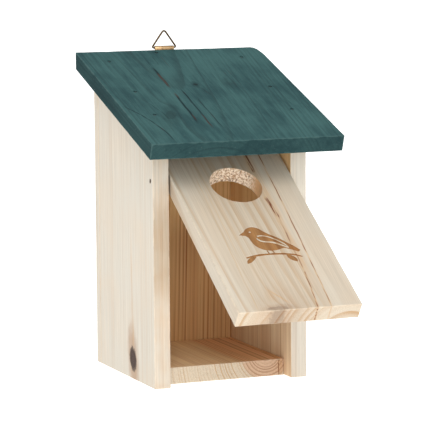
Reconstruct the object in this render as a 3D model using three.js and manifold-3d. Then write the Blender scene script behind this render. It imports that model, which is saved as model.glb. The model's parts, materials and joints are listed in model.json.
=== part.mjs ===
// A front-opening nest box: two side walls, a back wall, a floor and a sloping roof, nailed together.
// The front board is a door that swings up on two nails, and a wire ring at the back hangs the box up.
// Millimetres, +Z up, +Y towards the back. The origin is the middle of the standing face.

import * as THREE from 'three';
import { mergeVertices } from 'three/addons/utils/BufferGeometryUtils.js';
import Module from 'manifold-3d';

const wasm = await Module();
wasm.setup();

// ---- Driving dimensions ----

const BODY_WIDTH = 140; // over the two side walls
const BODY_DEPTH = 142.5; // front edges of the side walls to the back face
const FRONT_HEIGHT = 210.8; // side wall at its front edge
const ROOF_SLOPE = THREE.MathUtils.degToRad(19.4);

const BOARD = 14.5; // side walls, floor and door
const BACK_BOARD = 10;
const ROOF_BOARD = 14;

const ROOF_WIDTH = 173;
const ROOF_OVERHANG = 42; // in front of the side walls

const DOOR_SIDE_GAP = 1.5; // each side, to the side walls
const DOOR_FOOT_GAP = 1; // closed door above the standing face
const DOOR_HEAD_GAP = 5.8; // closed door below the top of the side walls' front edge
const DOOR_STOP_GAP = 0.5; // closed door's back to the floor's front edge
const DOOR_OPEN_ANGLE = THREE.MathUtils.degToRad(57); // how far the door stands open

const PIVOT_DROP = 29.5; // below the door's top edge
const PIVOT_INSET = 6; // behind the door's front face
const PIVOT_CLEARANCE = 0.3; // door's hole around the nail, all round

const ENTRANCE_RADIUS = 22.5;
const ENTRANCE_DROP = 47.5; // hole's centre below the door's top edge

const PIVOT_NAIL = { length: 35, shank: 1.2, head: 1.9, headThickness: 1.2, sunk: 0.3 };
const ROOF_NAIL = { length: 32, shank: 1.0, head: 1.5, headThickness: 1, sunk: 0.5 };
const BACK_NAIL = { length: 30, shank: 1.0, head: 1.7, headThickness: 1, sunk: 0.2 };
const HANGER_NAIL = { length: 12, shank: 0.8, head: 1.8, headThickness: 0.8, sunk: -0.8 };
const NAIL_CLEARANCE = 0.1; // nail hole around the nail, all round
const NAIL_TIP = 3; // length of a nail's point
const NAIL_CROWN = 0.7; // width of a head's flat crown, as a share of the head
const NAIL_RIM = 2 / 3; // height of a head's rim, as a share of the head

const ROOF_NAIL_FRONT = 13; // from the side walls' front edges
const ROOF_NAIL_MIDDLE = 59; // from the side walls' front edges
const ROOF_NAIL_REAR = 10; // from the side walls' rear edges
const ROOF_NAIL_BACK_X = -12.8; // the one nail down into the back wall
const BACK_NAIL_FOOT = 30; // lowest row above the standing face
const BACK_NAIL_HEAD = 25; // highest row below the back wall's top
const FLOOR_NAIL_INSET = 30; // from the floor's sides

const HANGER_X = -2.6; // middle of the strap and the ring
const STRAP_WIDTH = 18;
const STRAP_SHEET = 0.6; // one thickness of the folded sheet
const STRAP_FOOT = 15; // strap's lower end below the wire's axis
const STRAP_CORNER = 3;
const HANGER_NAIL_SPACING = 10;
const HANGER_NAIL_DROP = 9; // below the wire's axis
const WIRE_RADIUS = 0.8;
const WIRE_CLEARANCE = 0.25; // fold around the wire, all round
const WIRE_RISE = 1.8; // wire's axis above the roof's back edge
const WIRE_JOINT = 0.4; // gap between the bent wire's two ends
const RING_HALF_BASE = 11.7; // to the sharp corner before bending
const RING_HEIGHT = 16.2; // to the sharp corner before bending
const RING_FOOT_BEND = 2.5; // run of the bend along each side
const RING_TOP_BEND = 3.5;

const SEAM = 0.1; // between boards that butt
const ROOF_SEAM = 0.2; // between the roof and what carries it
const OVERCUT = 1; // how far a cutter runs past the face it leaves

// ---- How finely round shapes are cut ----

const ENTRANCE_SIDES = 64;
const NAIL_SIDES = 12;
const FOLD_SEGMENTS = 16;
const CORNER_SEGMENTS = 8;
const WIRE_SEGMENTS = 6; // round the wire
const RING_STEPS = 84; // along the bent wire
const MERGE_DISTANCE = 1e-4;

// ---- Places worked out from them ----

const front = -BODY_DEPTH / 2;
const back = BODY_DEPTH / 2;
const wallRear = back - BACK_BOARD - SEAM; // rear edges of the side walls
const innerHalf = BODY_WIDTH / 2 - BOARD; // half the room between the side walls
const doorTop = FRONT_HEIGHT - DOOR_HEAD_GAP;
const pivotY = front + PIVOT_INSET;
const pivotZ = doorTop - PIVOT_DROP;
const floorFront = front + BOARD + DOOR_STOP_GAP;
const slopeRise = Math.tan(ROOF_SLOPE);

// Height of the walls' sloping tops at a depth y.
const wallTop = (y) => FRONT_HEIGHT + (y - front) * slopeRise;
// Height of the roof's lower and upper faces at a depth y.
const roofUnder = (y) => wallTop(y) + ROOF_SEAM;
const roofOver = (y) => roofUnder(y) + ROOF_BOARD / Math.cos(ROOF_SLOPE);

// ---- Materials ----

const wood = (color) => new THREE.MeshStandardMaterial({ color, roughness: 0.75, metalness: 0 });
const metal = (color, roughness) => new THREE.MeshStandardMaterial({ color, roughness, metalness: 1 });

const PINE = wood(0xe3d6c0);
const STAIN = wood(0x3f6062);
const STEEL = metal(0x4a4440, 0.55);
const BRASS = metal(0xb89468, 0.35);

// ---- Solids ----

// A three.js geometry as a solid that can be cut and joined.
function solid(geometry) {
  const bare = geometry.clone();
  bare.deleteAttribute('normal');
  bare.deleteAttribute('uv');
  const merged = mergeVertices(bare, MERGE_DISTANCE);
  return new wasm.Manifold(
    new wasm.Mesh({
      numProp: 3,
      vertProperties: new Float32Array(merged.attributes.position.array),
      triVerts: new Uint32Array(merged.index.array),
    }),
  );
}

// A solid as a three.js geometry.
function geometryOf(body) {
  const mesh = body.getMesh();
  const geometry = new THREE.BufferGeometry();
  geometry.setAttribute('position', new THREE.BufferAttribute(mesh.vertProperties, mesh.numProp));
  geometry.setIndex(new THREE.BufferAttribute(mesh.triVerts, 1));
  geometry.computeVertexNormals();
  return geometry;
}

function piece(name, body, material) {
  const mesh = new THREE.Mesh(geometryOf(body), material);
  mesh.name = name;
  return mesh;
}

function box([x0, x1], [y0, y1], [z0, z1]) {
  const geometry = new THREE.BoxGeometry(x1 - x0, y1 - y0, z1 - z0);
  geometry.translate((x0 + x1) / 2, (y0 + y1) / 2, (z0 + z1) / 2);
  return solid(geometry);
}

// A side-view outline, a shape or a list of [y, z] points, carried across from x0 to x1.
function across(outline, x0, x1) {
  const plain = Array.isArray(outline);
  const shape = plain ? new THREE.Shape(outline.map(([y, z]) => new THREE.Vector2(y, z))) : outline;
  const geometry = new THREE.ExtrudeGeometry(shape, {
    depth: x1 - x0,
    bevelEnabled: false,
    curveSegments: FOLD_SEGMENTS,
  });
  const sideView = new THREE.Matrix4().makeBasis(
    new THREE.Vector3(0, 1, 0),
    new THREE.Vector3(0, 0, 1),
    new THREE.Vector3(1, 0, 0),
  );
  geometry.applyMatrix4(sideView);
  geometry.translate(x0, 0, 0);
  return solid(geometry);
}

// Turns a geometry made round the Y axis so that +Y becomes the given direction, then moves it.
function aim(geometry, at, direction) {
  const turn = new THREE.Quaternion().setFromUnitVectors(new THREE.Vector3(0, 1, 0), direction);
  geometry.applyQuaternion(turn);
  geometry.translate(at.x, at.y, at.z);
  return geometry;
}

// ---- Nails ----

// `at` is where the nail's line meets the board's face, and `out` points out of that face.
function nailBody({ length, shank, head, headThickness, sunk }, at, out) {
  const top = -sunk;
  const profile = [
    [0, top - length],
    [shank, top - length + NAIL_TIP],
    [shank, top - headThickness],
    [head, top - headThickness],
    [head, top - headThickness * (1 - NAIL_RIM)],
    [head * NAIL_CROWN, top],
    [0, top],
  ];
  const points = profile.map(([r, y]) => new THREE.Vector2(r, y));
  return solid(aim(new THREE.LatheGeometry(points, NAIL_SIDES), at, out));
}

// The room that a nail takes up in the wood, with the clearance all round it.
function nailHole({ length, shank, head, headThickness, sunk }, at, out, clearance = NAIL_CLEARANCE) {
  const top = -sunk;
  const profile = [
    [0, top - length - clearance],
    [shank + clearance, top - length + NAIL_TIP - clearance],
    [shank + clearance, top - headThickness - clearance],
    [head + clearance, top - headThickness - clearance],
    [head + clearance, Math.max(top, 0) + OVERCUT],
    [0, Math.max(top, 0) + OVERCUT],
  ];
  const points = profile.map(([r, y]) => new THREE.Vector2(r, y));
  return solid(aim(new THREE.LatheGeometry(points, NAIL_SIDES), at, out));
}

const nails = [];
const upwards = new THREE.Vector3(0, 0, 1);
const rearwards = new THREE.Vector3(0, 1, 0);

function addNail(name, kind, at, out) {
  nails.push({ name, kind, at: new THREE.Vector3(...at), out: out.clone().normalize() });
}

const SIDES = [
  ['left', -1],
  ['right', 1],
];
const wallMiddle = BODY_WIDTH / 2 - BOARD / 2; // from the centre to the middle of a side wall's thickness

for (const [side, sign] of SIDES) {
  const rows = [front + ROOF_NAIL_FRONT, front + ROOF_NAIL_MIDDLE, wallRear - ROOF_NAIL_REAR];
  rows.forEach((y, i) => {
    addNail(`roof_nail_${side}_${i + 1}`, ROOF_NAIL, [sign * wallMiddle, y, roofOver(y)], upwards);
  });
}
const backMiddle = back - BACK_BOARD / 2;
addNail('roof_nail_back', ROOF_NAIL, [ROOF_NAIL_BACK_X, backMiddle, roofOver(backMiddle)], upwards);

for (const [side, sign] of SIDES) {
  const low = BACK_NAIL_FOOT;
  const high = wallTop(wallRear) - BACK_NAIL_HEAD;
  [low, (low + high) / 2, high].forEach((z, i) => {
    addNail(`back_nail_${side}_${i + 1}`, BACK_NAIL, [sign * wallMiddle, back, z], rearwards);
  });
}
SIDES.forEach(([, sign], i) => {
  const x = sign * (innerHalf - FLOOR_NAIL_INSET);
  addNail(`back_nail_floor_${i + 1}`, BACK_NAIL, [x, back, BOARD / 2], rearwards);
});

const wireZ = roofOver(back) + WIRE_RISE;
for (const [side, sign] of SIDES) {
  const x = HANGER_X + (sign * HANGER_NAIL_SPACING) / 2;
  const strapFace = back + SEAM + 2 * STRAP_SHEET;
  addNail(`hanger_nail_${side}`, HANGER_NAIL, [x, strapFace, wireZ - HANGER_NAIL_DROP], rearwards);
}

// Cuts the holes of every nail whose name starts with one of the given words.
function drilled(body, ...starts) {
  const through = nails.filter(({ name }) => starts.some((start) => name.startsWith(start)));
  return through.reduce((left, { kind, at, out }) => left.subtract(nailHole(kind, at, out)), body);
}

// ---- Boards ----

function sideWall(side, sign) {
  const outline = [
    [front, 0],
    [wallRear, 0],
    [wallRear, wallTop(wallRear)],
    [front, wallTop(front)],
  ];
  const [x0, x1] = [sign * innerHalf, (sign * BODY_WIDTH) / 2].sort((a, b) => a - b);
  const pivot = pivotNail(sign);
  const board = across(outline, x0, x1).subtract(nailHole(PIVOT_NAIL, pivot.at, pivot.out));
  return piece(`${side}_wall`, drilled(board, `roof_nail_${side}`, `back_nail_${side}`), PINE);
}

function backWall() {
  const inner = back - BACK_BOARD;
  const outline = [
    [inner, 0],
    [back, 0],
    [back, wallTop(back)],
    [inner, wallTop(inner)],
  ];
  const board = across(outline, -BODY_WIDTH / 2, BODY_WIDTH / 2);
  return piece('back_wall', drilled(board, 'back_nail', 'roof_nail_back'), PINE);
}

function floorBoard() {
  const half = innerHalf - SEAM;
  const board = box([-half, half], [floorFront, wallRear], [0, BOARD]);
  return piece('floor', drilled(board, 'back_nail_floor'), PINE);
}

// Square-cut at the front, plumb-cut at the back so that it lies flush with the back wall.
function roofBoard() {
  const tip = front - ROOF_OVERHANG;
  const outline = [
    [tip + ROOF_BOARD * Math.sin(ROOF_SLOPE), roofOver(tip) - ROOF_BOARD * Math.cos(ROOF_SLOPE)],
    [back, roofUnder(back)],
    [back, roofOver(back)],
    [tip, roofOver(tip)],
  ];
  const board = across(outline, -ROOF_WIDTH / 2, ROOF_WIDTH / 2);
  return piece('roof', drilled(board, 'roof_nail', 'hanger_nail'), STAIN);
}

// ---- Door ----

function pivotNail(sign) {
  return {
    at: new THREE.Vector3((sign * BODY_WIDTH) / 2, pivotY, pivotZ),
    out: new THREE.Vector3(sign, 0, 0),
  };
}

// The door hangs in a group whose origin is the pivot, so turning the group swings the door.
function hungDoor() {
  const half = innerHalf - DOOR_SIDE_GAP;
  const faces = [-PIVOT_INSET, BOARD - PIVOT_INSET];
  let board = box([-half, half], faces, [DOOR_FOOT_GAP - pivotZ, PIVOT_DROP]);
  const cut = BOARD + 2 * OVERCUT;
  const entrance = new THREE.CylinderGeometry(ENTRANCE_RADIUS, ENTRANCE_RADIUS, cut, ENTRANCE_SIDES);
  entrance.translate(0, BOARD / 2 - PIVOT_INSET, PIVOT_DROP - ENTRANCE_DROP);
  board = board.subtract(solid(entrance));
  for (const [, sign] of SIDES) {
    const { at, out } = pivotNail(sign);
    at.y = 0;
    at.z = 0;
    board = board.subtract(nailHole(PIVOT_NAIL, at, out, PIVOT_CLEARANCE));
  }
  const hung = new THREE.Group();
  hung.add(piece('door', board, PINE));
  hung.position.set(0, pivotY, pivotZ);
  hung.rotation.x = -DOOR_OPEN_ANGLE;
  return hung;
}

// ---- Hanger ----

const foldInner = WIRE_RADIUS + WIRE_CLEARANCE;
const foldOuter = foldInner + STRAP_SHEET;
const wireY = back + SEAM + foldOuter;

// A strap bent double round the wire, with its two leaves pressed together below the fold.
function hangerPlate() {
  const y0 = back + SEAM;
  const leaves = 2 * STRAP_SHEET;
  const pinch = Math.sqrt(foldOuter ** 2 - (foldOuter - leaves) ** 2);
  const outline = new THREE.Shape();
  outline.moveTo(y0, wireZ - STRAP_FOOT);
  outline.lineTo(y0 + leaves, wireZ - STRAP_FOOT);
  outline.lineTo(y0 + leaves, wireZ - pinch);
  outline.absarc(wireY, wireZ, foldOuter, Math.atan2(-pinch, leaves - foldOuter), Math.PI, false);
  const eye = new THREE.Path();
  eye.absarc(wireY, wireZ, foldInner, 0, 2 * Math.PI, true);
  outline.holes.push(eye);
  const strap = across(outline, HANGER_X - STRAP_WIDTH / 2, HANGER_X + STRAP_WIDTH / 2);
  const trimmed = strap.intersect(roundedBlank());
  return piece('hanger_plate', drilled(trimmed, 'hanger_nail'), BRASS);
}

// The strap seen from behind: square at the fold, rounded at its lower end.
function roundedBlank() {
  const half = STRAP_WIDTH / 2 + SEAM;
  const foot = wireZ - STRAP_FOOT;
  const shape = new THREE.Shape();
  shape.moveTo(-half, wireZ + foldOuter + OVERCUT);
  shape.lineTo(-half, foot + STRAP_CORNER);
  shape.absarc(-half + STRAP_CORNER, foot + STRAP_CORNER, STRAP_CORNER, Math.PI, 1.5 * Math.PI, false);
  shape.absarc(half - STRAP_CORNER, foot + STRAP_CORNER, STRAP_CORNER, 1.5 * Math.PI, 2 * Math.PI, false);
  shape.lineTo(half, wireZ + foldOuter + OVERCUT);
  const depth = 2 * foldOuter + 2 * OVERCUT;
  const geometry = new THREE.ExtrudeGeometry(shape, {
    depth,
    bevelEnabled: false,
    curveSegments: CORNER_SEGMENTS,
  });
  geometry.rotateX(Math.PI / 2);
  geometry.translate(HANGER_X, back + SEAM - OVERCUT + depth, 0);
  return solid(geometry);
}

// One wire, bent into a triangle whose two ends meet inside the fold.
function hangerRing() {
  const left = new THREE.Vector3(-RING_HALF_BASE, 0, 0);
  const right = new THREE.Vector3(RING_HALF_BASE, 0, 0);
  const top = new THREE.Vector3(0, 0, RING_HEIGHT);
  const middle = new THREE.Vector3(0, 0, 0);
  const along = (from, to, run) => from.clone().add(to.clone().sub(from).setLength(run));
  const stops = [
    [right, middle, top, RING_FOOT_BEND],
    [top, right, left, RING_TOP_BEND],
    [left, top, middle, RING_FOOT_BEND],
  ];
  const path = new THREE.CurvePath();
  let here = along(middle, right, WIRE_JOINT / 2);
  for (const [corner, before, after, bend] of stops) {
    const start = along(corner, before, bend);
    const end = along(corner, after, bend);
    path.add(new THREE.LineCurve3(here, start));
    path.add(new THREE.QuadraticBezierCurve3(start, corner, end));
    here = end;
  }
  path.add(new THREE.LineCurve3(here, along(middle, left, WIRE_JOINT / 2)));
  const section = new THREE.Shape();
  section.absarc(0, 0, WIRE_RADIUS, 0, 2 * Math.PI, false);
  const wire = new THREE.ExtrudeGeometry(section, {
    extrudePath: path,
    steps: RING_STEPS,
    curveSegments: WIRE_SEGMENTS,
  });
  const mesh = piece('hanger_ring', solid(wire), BRASS);
  mesh.position.set(HANGER_X, wireY, wireZ);
  return mesh;
}

// ---- The whole box ----

const birdhouse = new THREE.Group();
birdhouse.name = 'birdhouse';
birdhouse.add(roofBoard(), backWall(), floorBoard(), hungDoor(), hangerPlate(), hangerRing());
for (const [side, sign] of SIDES) {
  birdhouse.add(sideWall(side, sign));
  const { at, out } = pivotNail(sign);
  birdhouse.add(piece(`door_pivot_nail_${side}`, nailBody(PIVOT_NAIL, at, out), STEEL));
}
for (const { name, kind, at, out } of nails) {
  birdhouse.add(piece(name, nailBody(kind, at, out), name.startsWith('hanger') ? BRASS : STEEL));
}

export default birdhouse;
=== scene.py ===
"""Looks of a front-opening nest box: knotty pine boards, a stained roof, steel nails and a wire hanger."""

import json
import math

import bmesh
import bpy
import numpy as np
from bpy.props import FloatProperty, FloatVectorProperty, IntProperty, PointerProperty
from mathutils import Matrix, Vector, noise


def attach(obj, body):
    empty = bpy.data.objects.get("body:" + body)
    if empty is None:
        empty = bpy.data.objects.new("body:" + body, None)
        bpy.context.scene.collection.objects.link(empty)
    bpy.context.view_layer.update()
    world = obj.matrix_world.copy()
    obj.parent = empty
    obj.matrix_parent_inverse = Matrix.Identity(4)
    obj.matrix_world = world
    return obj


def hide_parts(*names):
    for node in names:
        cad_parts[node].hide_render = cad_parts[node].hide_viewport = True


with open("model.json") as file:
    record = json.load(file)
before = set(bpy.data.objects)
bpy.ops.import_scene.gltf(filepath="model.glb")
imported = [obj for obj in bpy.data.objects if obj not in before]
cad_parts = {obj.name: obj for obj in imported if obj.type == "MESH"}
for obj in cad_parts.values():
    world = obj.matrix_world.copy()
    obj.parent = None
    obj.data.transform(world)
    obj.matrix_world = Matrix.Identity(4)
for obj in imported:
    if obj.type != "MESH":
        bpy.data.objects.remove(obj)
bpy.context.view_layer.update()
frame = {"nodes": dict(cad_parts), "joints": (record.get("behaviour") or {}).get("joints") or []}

bl_info = {
    "name": "Front-opening nest box",
    "version": (1, 0, 0),
    "blender": (4, 5, 0),
    "location": "View3D > Sidebar > Nest Box",
    "description": "Builds the boards, nails and hanger of a nest box around its packed model",
    "category": "Add Mesh",
}

MM = 0.001
SLACK = 0.01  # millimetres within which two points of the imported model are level
X, Y, Z = Vector((1, 0, 0)), Vector((0, 1, 0)), Vector((0, 0, 1))
PINE_SLOT, ROOF_SLOT, NAIL_SLOT, BRASS_SLOT = "pine", "roof_stain", "nail_steel", "brass"
HOUSE, DOOR, RING = "box", "door", "hanger_ring"


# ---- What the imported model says, in millimetres ----


def node_points(node, turn=None):
    """Every corner of a node's solid at rest, or turned by a matrix."""
    co = np.array([v.co for v in frame["nodes"][node].data.vertices], float) / MM
    if turn is None:
        return co
    turn = np.array(turn)
    return co @ turn[:3, :3].T + turn[:3, 3]


def nodes_named(start):
    return sorted(n for n in frame["nodes"] if n.startswith(start))


def node_box(node, turn=None):
    co = node_points(node, turn)
    return Vector(co.min(0)), Vector(co.max(0))


def joint_turn(name, end):
    """The turn of a joint's moving body from rest to one of its limits."""
    joint = next(j for j in frame["joints"] if j["name"] == name)
    pivot = Vector(joint["pos_m"]) / MM
    angle = math.radians(joint["range_deg"][end])
    turn = Matrix.Rotation(angle, 4, Vector(joint["axis"]))
    return Matrix.Translation(pivot) @ turn @ Matrix.Translation(-pivot)


DOOR_SHUT = joint_turn("door_swing", 0)
DOOR_OPEN = DOOR_SHUT.inverted()
DOOR_LOW, DOOR_HIGH = node_box("door", DOOR_SHUT)
WALL_LOW, WALL_HIGH = node_box("left_wall")
ROOF_LOW, ROOF_HIGH = node_box("roof")
BACK_LOW = node_box("back_wall")[0]


def roof_slope():
    """The roof's slope, from the tops of a side wall's front and rear edges."""
    co = node_points("left_wall")
    front_top = co[co[:, 1] < WALL_LOW.y + SLACK][:, 2].max()
    return math.atan2(WALL_HIGH.z - front_top, WALL_HIGH.y - WALL_LOW.y)


SLOPE = roof_slope()
UP_ROOF = Vector((0, math.cos(SLOPE), math.sin(SLOPE)))
ROOF_FACE = Vector((0, -math.sin(SLOPE), math.cos(SLOPE)))


def roof_top_front():
    """The middle of the roof's upper front arris."""
    co = node_points("roof")
    height = (co @ np.array(ROOF_FACE)).max()
    return Vector((0, ROOF_LOW.y, (height + ROOF_LOW.y * math.sin(SLOPE)) / math.cos(SLOPE)))


def entrance_hole():
    """Centre and radius of the round hole, with the door shut."""
    co = node_points("door", DOOR_SHUT)
    face = co[:, 1] < DOOR_LOW.y + SLACK
    inside = face & (np.abs(co[:, 0]) < DOOR_HIGH.x - SLACK)
    inside &= (co[:, 2] > DOOR_LOW.z + SLACK) & (co[:, 2] < DOOR_HIGH.z - SLACK)
    ring = co[inside]
    centre = (ring.min(0) + ring.max(0)) / 2
    return Vector(centre), (ring.max(0)[0] - ring.min(0)[0]) / 2


ROOF_ORIGIN = roof_top_front()
ENTRANCE, ENTRANCE_RADIUS = entrance_hole()


# ---- What a user would change ----


def shade(name, description, rgb):
    """A colour property whose default is given as 0 to 255 screen values."""
    def linear(c):
        c /= 255
        return c / 12.92 if c <= 0.04045 else ((c + 0.055) / 1.055) ** 2.4

    default = tuple(linear(c) for c in rgb)
    return FloatVectorProperty(
        name=name, description=description, subtype="COLOR", size=3, min=0, max=1, default=default
    )


def length(name, description, millimetres):
    return FloatProperty(
        name=name, description=description, unit="LENGTH", subtype="DISTANCE",
        min=0, precision=5, default=millimetres * MM,
    )


class NestBoxBoards(bpy.types.PropertyGroup):
    """Sizes of the boards' finer shapes."""

    arris: length("Arris", "Rounding along the edges of the planed boards", 0.6)
    roof_arris: length("Roof arris", "Rounding along the edges of the roof board", 1.1)
    wear: length("Wear", "Deepest dent along an arris", 0.45)
    cell: length("Cell", "Size of the faces that a board is divided into", 7)
    warp: length("Warp", "How far a board's faces wander from flat", 0.08)
    hole_fuzz: length("Hole fuzz", "How rough the torn end grain in the entrance hole is", 0.75)
    motif_depth: length("Motif depth", "How deep the songbird is burnt into the door", 0.45)
    seed: IntProperty(name="Seed", description="Picks the dents and torn fibres", default=7)


class NestBoxTimber(bpy.types.PropertyGroup):
    """Colours of the bare pine."""

    sapwood: shade("Sapwood", "Pale wood between the ring lines", (213, 206, 193))
    latewood: shade("Latewood", "Ring lines on the faces", (190, 162, 130))
    heartwood: shade("Heartwood", "Redder wood round the pith", (206, 166, 136))
    resin: shade("Resin", "Dark resin streaks", (116, 64, 38))
    amber: shade("Amber", "Thin resin and the edges of the dark streaks", (198, 156, 106))
    knot: shade("Knot", "Core of a dead knot", (78, 60, 52))
    burnt: shade("Burnt", "Wood under the burnt motif", (204, 160, 112))
    # The inside tint on the inner faces is partly the rough wood's own warmer colour and partly painted shade inside
    # the box.
    inside: shade("Inside", "Tint of the unplaned inner faces", (255, 214, 160))


class NestBoxStain(bpy.types.PropertyGroup):
    """Colours of the stained roof."""

    light: shade("Light", "Stain where it took thinly", (64, 98, 98))
    deep: shade("Deep", "Stain where it took well", (43, 73, 76))
    dark: shade("Dark", "Stain in resin lines and knots", (24, 40, 43))
    worn: shade("Worn", "Stain rubbed thin along an arris", (78, 106, 105))


class NestBoxMetal(bpy.types.PropertyGroup):
    """Finishes of the nails and the hanger."""

    steel: shade("Steel", "Dull steel of the nails", (46, 40, 36))
    rust: shade("Rust", "Rust on the nails", (64, 38, 27))
    brass: shade("Brass", "Plating of the strap", (212, 176, 132))
    tarnish: shade("Tarnish", "Dull patches on the plating", (92, 72, 50))
    wire: shade("Wire", "Plating of the ring", (96, 80, 55))


class NestBoxStage(bpy.types.PropertyGroup):
    """Camera and light."""

    lens: FloatProperty(name="Lens", description="Focal length on a 36 mm sensor", default=207.16, min=1)
    place: FloatVectorProperty(
        name="Camera place", description="Where the camera stands", subtype="TRANSLATION",
        unit="LENGTH", default=(-0.80088, -1.97987, 0.40514),
    )
    turn: FloatVectorProperty(
        name="Camera turn", description="Yaw, pitch and roll of the camera", subtype="EULER",
        unit="ROTATION", default=tuple(math.radians(a) for a in (22.40, -7.19, -0.42)),
    )
    surround: FloatProperty(name="Surround", description="Strength of the even white light", default=0.80, min=0)
    key: FloatProperty(name="Key", description="Strength of the light from the front left", default=0.9, min=0)


GROUPS = {
    "nest_box_boards": NestBoxBoards,
    "nest_box_timber": NestBoxTimber,
    "nest_box_stain": NestBoxStain,
    "nest_box_metal": NestBoxMetal,
    "nest_box_stage": NestBoxStage,
}


# ---- Making node trees ----


class Wiring:
    """Adds nodes to a material or a group. Each call gives back the socket that holds its result."""

    PER_ROW, WIDE, TALL = 12, 190, 240

    def __init__(self, tree):
        self.tree = tree

    def put(self, kind, **settings):
        node = self.tree.nodes.new(kind)
        count = len(self.tree.nodes)
        node.location = (self.WIDE * (count % self.PER_ROW), -self.TALL * (count // self.PER_ROW))
        for name, value in settings.items():
            setattr(node, name, value)
        return node

    def feed(self, socket, value):
        if isinstance(value, bpy.types.NodeSocket):
            self.tree.links.new(value, socket)
        elif socket.type == "RGBA" and hasattr(value, "__len__"):
            socket.default_value = (*tuple(value)[:3], 1)
        elif value is not None:
            socket.default_value = value

    def fed(self, kind, inputs, **settings):
        """A node whose inputs are given by name or by number."""
        node = self.put(kind, **settings)
        for key, value in inputs.items():
            self.feed(node.inputs[key], value)
        return node

    def math(self, operation, *values, clamp=False):
        return self.fed("ShaderNodeMath", dict(enumerate(values)), operation=operation, use_clamp=clamp).outputs[0]

    def times(self, *values, **settings):
        return self.math("MULTIPLY", *values, **settings)

    def times_plus(self, *values):
        return self.math("MULTIPLY_ADD", *values)

    def plus(self, *values, **settings):
        return self.math("ADD", *values, **settings)

    def minus(self, *values):
        return self.math("SUBTRACT", *values)

    def most(self, *values):
        return self.math("MAXIMUM", *values)

    def vector(self, operation, *values):
        node = self.fed("ShaderNodeVectorMath", dict(enumerate(values)), operation=operation)
        return node.outputs["Value" if operation == "LENGTH" else "Vector"]

    def smooth(self, value, low, high, to_low=0.0, to_high=1.0, kind="SMOOTHSTEP"):
        inputs = {"Value": value, "From Min": low, "From Max": high, "To Min": to_low, "To Max": to_high}
        return self.fed("ShaderNodeMapRange", inputs, interpolation_type=kind).outputs["Result"]

    def ramp(self, *values):
        return self.smooth(*values, kind="LINEAR")

    def noise(self, vector, scale, detail=2.0, roughness=0.5, dimensions="3D", output=0):
        inputs = {
            "W" if dimensions == "1D" else "Vector": vector, "Scale": scale, "Detail": detail, "Roughness": roughness,
        }
        return self.fed("ShaderNodeTexNoise", inputs, noise_dimensions=dimensions).outputs[output]

    def grainy(self, vector, squeeze, *settings, **more):
        """Noise that is drawn out along the grain, the more so the smaller the squeeze."""
        return self.noise(self.stretched(vector, 1, 1, squeeze), *settings, **more)

    def mix(self, factor, first, second, blend="MIX"):
        settings = {"data_type": "RGBA", "blend_type": blend, "clamp_factor": True}
        return self.fed("ShaderNodeMix", {0: factor, 6: first, 7: second}, **settings).outputs[2]

    def tinted(self, colour, tint, factor=1.0):
        return self.mix(factor, colour, tint, "MULTIPLY")

    def stretched(self, vector, x, y, z):
        return self.vector("MULTIPLY", vector, Vector((x, y, z)))

    def split(self, vector):
        return self.fed("ShaderNodeSeparateXYZ", {0: vector}).outputs

    def join(self, x, y, z):
        return self.fed("ShaderNodeCombineXYZ", {0: x, 1: y, 2: z}).outputs[0]

    def group(self, tree, **values):
        """Places a shader group. Its inputs are given by name, with _ for a space."""
        values = {name.replace("_", " "): value for name, value in values.items()}
        return self.fed("ShaderNodeGroup", values, node_tree=tree).outputs

    def mark(self, name):
        """A number that the mesh itself carries."""
        return self.put("ShaderNodeAttribute", attribute_name=name).outputs["Fac"]

    def own_place(self):
        return self.put("ShaderNodeTexCoord").outputs["Object"]


def shader_group(name, inputs, fill):
    """A shader group made once. Its inputs are a Vector and the given numbers, and fill gives its outputs by name."""
    if name in bpy.data.node_groups:
        return bpy.data.node_groups[name]
    tree = bpy.data.node_groups.new(name, "ShaderNodeTree")
    tree.interface.new_socket("Vector", in_out="INPUT", socket_type="NodeSocketVector")
    for label, default in inputs.items():
        tree.interface.new_socket(label, in_out="INPUT", socket_type="NodeSocketFloat").default_value = default
    w = Wiring(tree)
    results = fill(w, {s.name: s for s in w.put("NodeGroupInput").outputs if s.name})
    for label in results:
        tree.interface.new_socket(label, in_out="OUTPUT", socket_type="NodeSocketFloat")
    end = w.put("NodeGroupOutput")
    for label, result in results.items():
        w.feed(end.inputs[label], result)
    return tree


# ---- Shader groups that the woods and metals share ----


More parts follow.
